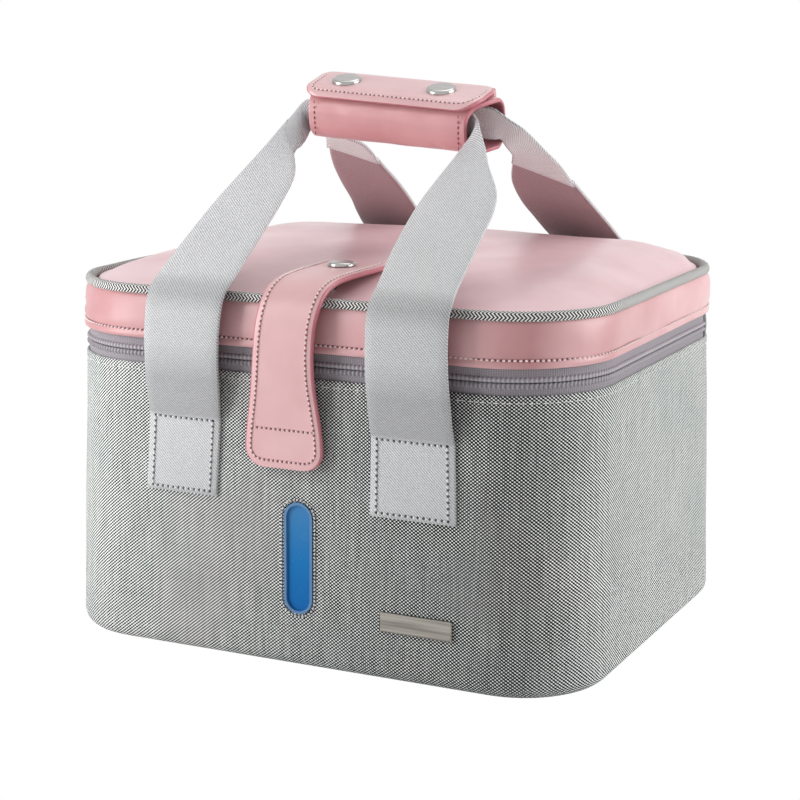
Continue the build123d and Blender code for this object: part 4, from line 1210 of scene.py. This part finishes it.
def makeFrontStraps():
    leftStrap = sewnRows(-81, -42, -78.5, -39.5)
    leftStrap += [(-77.5, -119.0, 124, -38.0, -118.8, 124), (-77, -121.2, 134, -37, -121.0, 134),
                  (-76.3, -123.2, 146, -36, -123.2, 146), (-75.6, -123.9, 158, -35, -124.0, 158),
                  (-75.0, -123.2, 169, -34, -123.4, 169), (-74.7, -121.2, 176.4, -33.4, -121.4, 176.4),
                  (-74.6, -117.5, 180.2, -33.3, -117.5, 180.2),
                  (-74.3, -109, 185.6, -33.4, -107, 186.6), (-73.8, -92, 196, -34, -92, 196),
                  (-71.5, -64, 213.5, -35, -64, 213.8), (-68.2, -42, 227, -38, -44, 226),
                  (-64.9, -23, 239.2, -46.8, -28.5, 235.5), (-62.3, -14.5, 246.3, -54.8, -17.5, 242.5),
                  (-60.4, -10.2, 250.2, -59.0, -10.8, 249.3)]
    # the half that is folded behind it on the way into the grip
    leftFold = [(-61.6, -12.5, 247.6, -44.5, -33, 231.5), (-61.2, -11.5, 248.6, -47.4, -26.8, 236.2),
                (-58, -8.5, 253, -46.2, -19, 239.6)]
    leftFold += posedRows((-53.5, -5.5, 257.5, -49.5, -7, 243.4), (-48, -4.8, 260, -48, -5.6, 243.8),
                          (-38, -4.6, 261.5, -38, -4.8, 244))
    rightStrap = sewnRows(39.5, 83, 40, 82)
    rightStrap += risingRows(-1, (40.4, 40.6, 40.8, 41, 41, 41, 40.9), (82, 82, 81.8, 81.6, 81.5, 81.3, 81))
    rightStrap += [(40, -109, 185.4, 79.6, -110, 184.8), (37.6, -92, 196, 78.3, -94.8, 194.1),
                   (36.4, -74, 207, 77.0, -76, 205.6), (36.4, -58, 216.8, 76.0, -61, 215),
                   (38, -45, 225, 72.2, -48.5, 223), (40, -31, 233.5, 62.0, -34, 233), (41, -22, 238.6, 55, -23, 241.5),
                   (42, -15, 242, 48.0, -14.5, 250.5)]
    rightStrap += posedRows((42.5, -10.3, 244.5, 44.8, -9.6, 259), (39, -7, 244, 41, -6.6, 261),
                            (32, -4.8, 244, 33, -4.6, 261.5), (0, -4.6, 244, 0, -4.6, 261.5),
                            (-40, -4.4, 244, -40, -4.4, 261.5))
    parts = newParts()
    for line in (leftStrap, rightStrap):
        addStitchedBox(parts, *addStrap(parts, line))
    addStrap(parts, leftFold)
    piece = makePiece("frontHandle", parts, [webbingFront, webbingBack, greyThread, greyHoleShade], None,
                      ["front_strap_ends", "front_webbing"])
    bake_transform(piece)


def makeRearStraps():
    rightStrap = sewnAtBack(38, 80, 37.5, 79.5)
    rightStrap += risingRows(1, (79, 78.8, 78.6, 78.4, 78, 77.4, 77), (37.2, 37, 37, 37, 37, 37, 36.8))
    rightStrap += [(76.4, 108, 186.3, 35, 108, 186.2), (75.6, 97, 193, 34, 92, 196), (74.1, 84, 201, 33.3, 76, 205.8),
                   (72.6, 70, 209.6, 36.2, 55.7, 218.2), (71.5, 61.5, 215.0, 44, 37.5, 229.2),
                   (71.2, 55.5, 218.3, 48.3, 26.6, 232.6)]
    # past a slanting crease the outer face turns to the front
    rightTop = [(71.0, 57, 215.9, 47.8, 27, 230.0), (70.8, 53, 218.8, 49.4, 24.6, 232.4),
                (69.5, 41, 227.5, 50.3, 22.3, 233.2), (66.8, 26, 236.6, 51.3, 18.8, 235),
                (61, 13, 247.5, 50.8, 13, 238.6)]
    rightTop += posedRows((54, 6.5, 255.5, 49.5, 7.5, 243.7), (48, 5.0, 260.4, 47, 5.8, 243.8),
                          (38, 4.7, 261.5, 38, 4.8, 244), (0, 4.6, 261.5, 0, 4.6, 244),
                          (-40, 4.4, 261.5, -40, 4.4, 244))
    leftStrap = sewnAtBack(-82, -41, -81, -40)
    leftStrap += risingRows(1, (-39.6, -39.2, -38.8, -38.4, -38, -37.5, -37.2),
                            (-80.6, -80.3, -80.1, -80, -79.9, -79.8, -79.6))
    leftStrap += [(-36, 104, 188.5, -78.7, 109, 185.5), (-35, 90, 197.2, -75.8, 96, 193.4),
                  (-33.8, 77, 205.2, -72.4, 83, 201.6), (-33.3, 62, 214.6, -68.8, 64, 213),
                  (-33.7, 50, 221.8, -64.2, 45.5, 225), (-33.9, 41.3, 227.2, -56.2, 25.8, 236.8)]
    leftTop = [(-33.8, 41.5, 225, -57, 25.6, 234.6), (-34, 38.8, 227.8, -55.9, 23.4, 237.2),
               (-34.3, 34, 231.6, -55.2, 21.8, 239.4), (-36, 26, 236.5, -54.6, 18.5, 243),
               (-41, 15, 240.8, -54, 13.5, 249.5)]
    leftTop += posedRows((-48.5, 6.8, 243.8, -51, 5.4, 258.5), (-46, 5.8, 243.8, -46, 5.2, 260.4),
                         (-38, 4.8, 244, -38, 4.7, 261.5))
    parts = newParts()
    for line in (rightStrap, leftStrap):
        addStitchedBox(parts, *addStrap(parts, line))
    for line in (rightTop, leftTop):
        # the folded top strips' other face takes the lighter copy of the webbing, painted light
        addStrap(parts, line, (1, 0, 4))
    piece = makePiece("rearHandle", parts, [webbingFront, webbingBack, greyThread, greyHoleShade, webbingFoldPaintedLight], None,
                      ["rear_strap_ends", "rear_webbing"])
    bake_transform(piece)


makeFrontStraps()
makeRearStraps()
print("handles done")


# Leather grip: a sleeve round the webbing, and the flap that closes over it

grip = {"level": 253.0, "depth": 28.0, "height": 26.0, "corner": 10.0, "leather": 2.2, "bulge": 1.4, "tuck": 0.035,
        "pinch": 0.02, "crease": 0.35, "seam": (2.9, 1.7, 0.3)}


def gripSection(inset):
    # closed section from the top rear, over the back, underside and front to the top
    hy, hz, r = grip["depth"] / 2 - grip["corner"], grip["height"] / 2 - grip["corner"], grip["corner"] - inset
    return np.array([(y + r * math.cos(math.radians(a)), z + r * math.sin(math.radians(a)))
                     for y, z, first in ((hy, hz, 90), (hy, -hz, 0), (-hy, -hz, -90), (-hy, hz, -180))
                     for a in np.linspace(first, first - 90, 9)])


def makeGripWrap():
    outer, inner = gripSection(0), gripSection(grip["leather"])
    n, run = len(outer), runAlong(outer)
    stations = np.concatenate([[0, 0.15, 0.6, 1.2], np.linspace(2.5, 97.5, 26), [98.8, 99.4, 99.85, 100]])

    def station(section, s, pull):
        # the sleeve's front is cut back at both ends and bulges, and it is a little slimmer at half its length
        y, z = section.T
        front = smoothstep(4, -14, y)
        x = lerp(lerp(-50.0, -45.5, front), lerp(50.0, 40.5, front), s / 100)
        bulge = grip["bulge"] * np.cos(np.pi * z / grip["height"]) * smoothstep(2, -6, y)
        size = 1 - grip["pinch"] * math.sin(math.pi * s / 100) - pull
        return np.column_stack([x, y * size - bulge, grip["level"] + z * size])

    spots, cloth = [], []
    tuck = grip["tuck"]
    for section, places, pull, side in ((outer, stations, tuck, 1.0), (inner, stations[::-1], -tuck, 0.0)):
        for s in places:
            spots.append(station(section, s, pull * max(0.0, 1 - min(s, 100 - s) / 0.6)))
            cloth.append(np.column_stack([np.full(n, s), run, np.full(n, side)]))
    spots, cloth = np.array(spots), np.array(cloth)
    for row, (along, around, _) in zip(spots, cloth.transpose(0, 2, 1)):
        crease = waves(along, around, 2.0, 0.09, 3.0) * grip["crease"]
        row += unit(row * (0, 1, 1) - (0, 0, grip["level"])) * crease[:, None]
    rows = len(spots)
    half = rows // 2
    faces, slots = [], []
    for k in range(rows):
        kind = 1 if k < 2 or half - 3 <= k < half or k == rows - 1 else 2 if k >= half else 0
        k2 = (k + 1) % rows
        faces += [(k * n + i, k * n + (i + 1) % n, k2 * n + (i + 1) % n, k2 * n + i) for i in range(n)]
        slots += [kind] * n
    parts = newParts()
    addPart(parts, spots.reshape(-1, 3), faces, slots, cloth.reshape(-1, 3))
    # ridge at the back that the top flap grows from
    ridge = [(10.9, 262), (10.9, 265.2), (11.4, 267.4), (12.6, 268.2), (13.8, 267.4), (14.35, 265), (14.3, 260)]
    a, b = 24, len(ridge)
    spots = np.array([[(x, y, z) for y, z in ridge] for x in np.linspace(-43.0, 45.0, a)])
    cloth = np.array([[(x, 6 * j, 0) for j in range(b)] for x in np.linspace(0, 100, a)])
    start = addGrid(parts, spots, cloth)
    parts["faces"] += [tuple(range(start, start + b))[::-1], tuple(range(start + (a - 1) * b, start + a * b))]
    parts["slots"] += [0, 0]
    # stitches near both ends, down the front and the back
    y = grip["depth"] / 2 + 0.05
    for frontX, backX in ((-42.0, -46.2), (36.8, 46.2)):
        lines = [[(frontX + 0.02 * (z - grip["level"]),
                   -y - grip["bulge"] * math.cos((z - grip["level"]) * math.pi / grip["height"]), z)
                  for z in np.linspace(244, 263, 8)], [(backX, y, z) for z in np.linspace(244, 259, 8)]]
        for line, outward in zip(lines, (-1.0, 1.0)):
            addStitches(parts, line, np.tile((0.0, outward, 0.0), (8, 1)), *grip["seam"], 3, sink=0.2)
    poseParts(parts)
    makePiece("gripSleeve", parts, [gripLeather, edgePaint, innerLeather, deepThread], "rear_handle",
              ["grip_wrap"])


def makeGripFlap():
    cover = {"top": 268.5, "half": 47.4, "frontRounds": (12.0, 7.0), "backRound": 7.0, "rim": 3.2, "sag": 0.2,
             "seam": (2.4, 1.5, 0.38)}
    line = [(11.5, 0.3), (9.5, 0.05), (7.5, 0), (2, 0), (-4, 0), (-8.5, 0.1), (-11.8, 0.8), (-14.2, 1.9), (-15.7, 3.6)]
    rows, run = smoothRun([(0.0, y, cover["top"] - drop) for y, drop in line], 1.6)
    total = run[-1]

    def sideOf(r):
        # half width at a place, the same without its rounding, and the radius of the front corner
        return (lambda v: cover["half"] - roundedOff(total - v, r) - roundedOff(v, cover["backRound"]),
                lambda v: cover["half"], r)

    sides = [sideOf(r) for r in cover["frontRounds"]]
    marks = marksAlong(run, [0.02, 0.3, 0.8], (1.2, 13), (0.02, 0.2, 0.6, 1.2, 2.0, 3.0, 4.3, 5.8, 7.5, 9.5, 11.5))
    left, right = flapEdges(rows, run, marks, *[side[0] for side in sides])
    left[:, 2] += waves(marks, np.zeros(len(marks)), 0, 0.1, 2.0) * cover["sag"]
    parts = newParts()
    addRibbon(parts, left, right, marks, grip["leather"], steps=26)
    places = np.arange(7.5, total - cover["rim"], 1.2)
    seam = rimSeam(sides, marks, total, cover["rim"], places, 30)
    addStitches(parts, *onRibbon(left, right, seam, grip["leather"]), *cover["seam"], 3, sink=0.1, hole=4)
    poseParts(parts)
    makePiece("gripFlap", parts, [gripTopPaintedLight, edgePaint, innerLeather, pinkThread, pinkHoleShade], "grip_flap",
              ["grip_flap"])


makeGripWrap()
makeGripFlap()
print("grip done")


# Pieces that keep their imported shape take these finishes

finishes = {
    "wall_foam": foam, "lid_core": foam, "lid_crown_pad": foam, "base_board": board, "window_pane": bluePane,
    "window_rim": clearRim, "front_plate": brushedNickel, "body_magnet": magnetSteel, "flap_magnet": magnetSteel,
    "zip_slider": zipMetal, "zip_pull": zipMetal, "lid_tray": whitePlastic, "lid_lining": foil,
    "battery_pack": battery, "control_board": circuit, "led_board": circuit, "uv_leds": lampLens,
    "lamp_frame": whitePlastic, "lamp_cover": quartz, "power_button": buttonPlastic, "button_bezel": snapNickel,
    "charge_port": snapSteel, "flap_snap_cap": snapNickel, "flap_snap_socket": snapSteel,
    "flap_snap_stud": snapSteel, "grip_snap_caps": snapNickel, "grip_snap_sockets": snapSteel,
    "grip_snap_studs": snapSteel}
for name, material in finishes.items():
    for place in nodes[name].material_slots:
        place.link = "OBJECT"
        place.material = material
print("packed pieces dressed:", len(finishes))


# Floor, light and camera

def seenDirectly(tree):
    # 1 for rays from the camera, also by way of a mirror or glass, and 0 for light that falls on things
    path = addNode(tree, "ShaderNodeLightPath").outputs
    indirect = calc(tree, "MAXIMUM", path["Is Glossy Ray"], path["Is Transmission Ray"])
    return calc(tree, "MAXIMUM", path["Is Camera Ray"], indirect)


def makeStage():
    room = {"half": 40.0, "drop": 0.0004, "tone": rgb(252, 252, 252), "white": (1, 1, 1, 1), "light": 0.24,
            "seen": 0.76}
    mesh = bpy.data.meshes.new("studioFloor")
    s = room["half"]
    mesh.from_pydata([(-s, -s, 0), (s, -s, 0), (s, s, 0), (-s, s, 0)], [], [(0, 1, 2, 3)])
    floor = bpy.data.objects.new("studioFloor", mesh)
    scene.collection.objects.link(floor)
    floor.location.z = -room["drop"]
    material, tree, vector = startMaterial("studioPaper", "object")
    finishMaterial(material, room["tone"], 0.9, noiseAt(tree, vector, 300.0, 2.0), (0.02, 0.1))
    glow = addNode(tree, "ShaderNodeEmission", {"Color": room["white"], "Strength": 1.0})
    mixed = addNode(tree, "ShaderNodeMixShader", {0: seenDirectly(tree), 1: tree.nodes["Principled BSDF"].outputs[0],
                                                  2: glow.outputs[0]})
    tree.links.new(mixed.outputs[0], tree.nodes["Material Output"].inputs["Surface"])
    mesh.materials.append(material)
    world = bpy.data.worlds.new("studio")
    scene.world = world
    world.use_nodes = True
    tree = world.node_tree
    sky = tree.nodes["Background"].inputs
    feed(tree, sky["Color"], room["white"])
    feed(tree, sky["Strength"],
         calc(tree, "ADD", calc(tree, "MULTIPLY", seenDirectly(tree), room["seen"]), room["light"]))


def addLamp(name, place, target, size, power):
    data = bpy.data.lights.new(name, "AREA")
    data.shape = "RECTANGLE"
    data.size, data.size_y = size
    data.energy = power
    lamp = bpy.data.objects.new(name, data)
    scene.collection.objects.link(lamp)
    lamp.location = place
    lamp.rotation_euler = (Vector(target) - Vector(place)).to_track_quat("-Z", "Y").to_euler()


def makeCamera():
    view = {"place": (0.4334, -0.8979, 0.3179), "turn": 25.85, "dip": 11.89, "lens": 88.78}
    a, e = math.radians(view["turn"]), math.radians(view["dip"])
    ahead = Vector((-math.sin(a) * math.cos(e), math.cos(a) * math.cos(e), -math.sin(e)))
    data = bpy.data.cameras.new("photoCamera")
    data.lens = view["lens"]
    data.sensor_width = 36.0
    data.clip_start, data.clip_end = 0.05, 50.0
    camera = bpy.data.objects.new("photoCamera", data)
    scene.collection.objects.link(camera)
    camera.location = view["place"]
    camera.rotation_euler = ahead.to_track_quat("-Z", "Y").to_euler()
    scene.camera = camera


makeStage()
addLamp("keyLamp", (-0.46, -0.47, 0.32), (-0.03, -0.12, 0.1), (0.35, 0.6), 3.3)
addLamp("sideLamp", (1.15, 0.3, 0.6), (0.12, 0, 0.1), (0.8, 1.0), 10.0)
addLamp("topLamp", (0.1, 0.5, 1.5), (0, 0, 0.1), (1.2, 0.8), 6.0)
makeCamera()
scene.view_settings.view_transform = "Standard"
print("stage done")
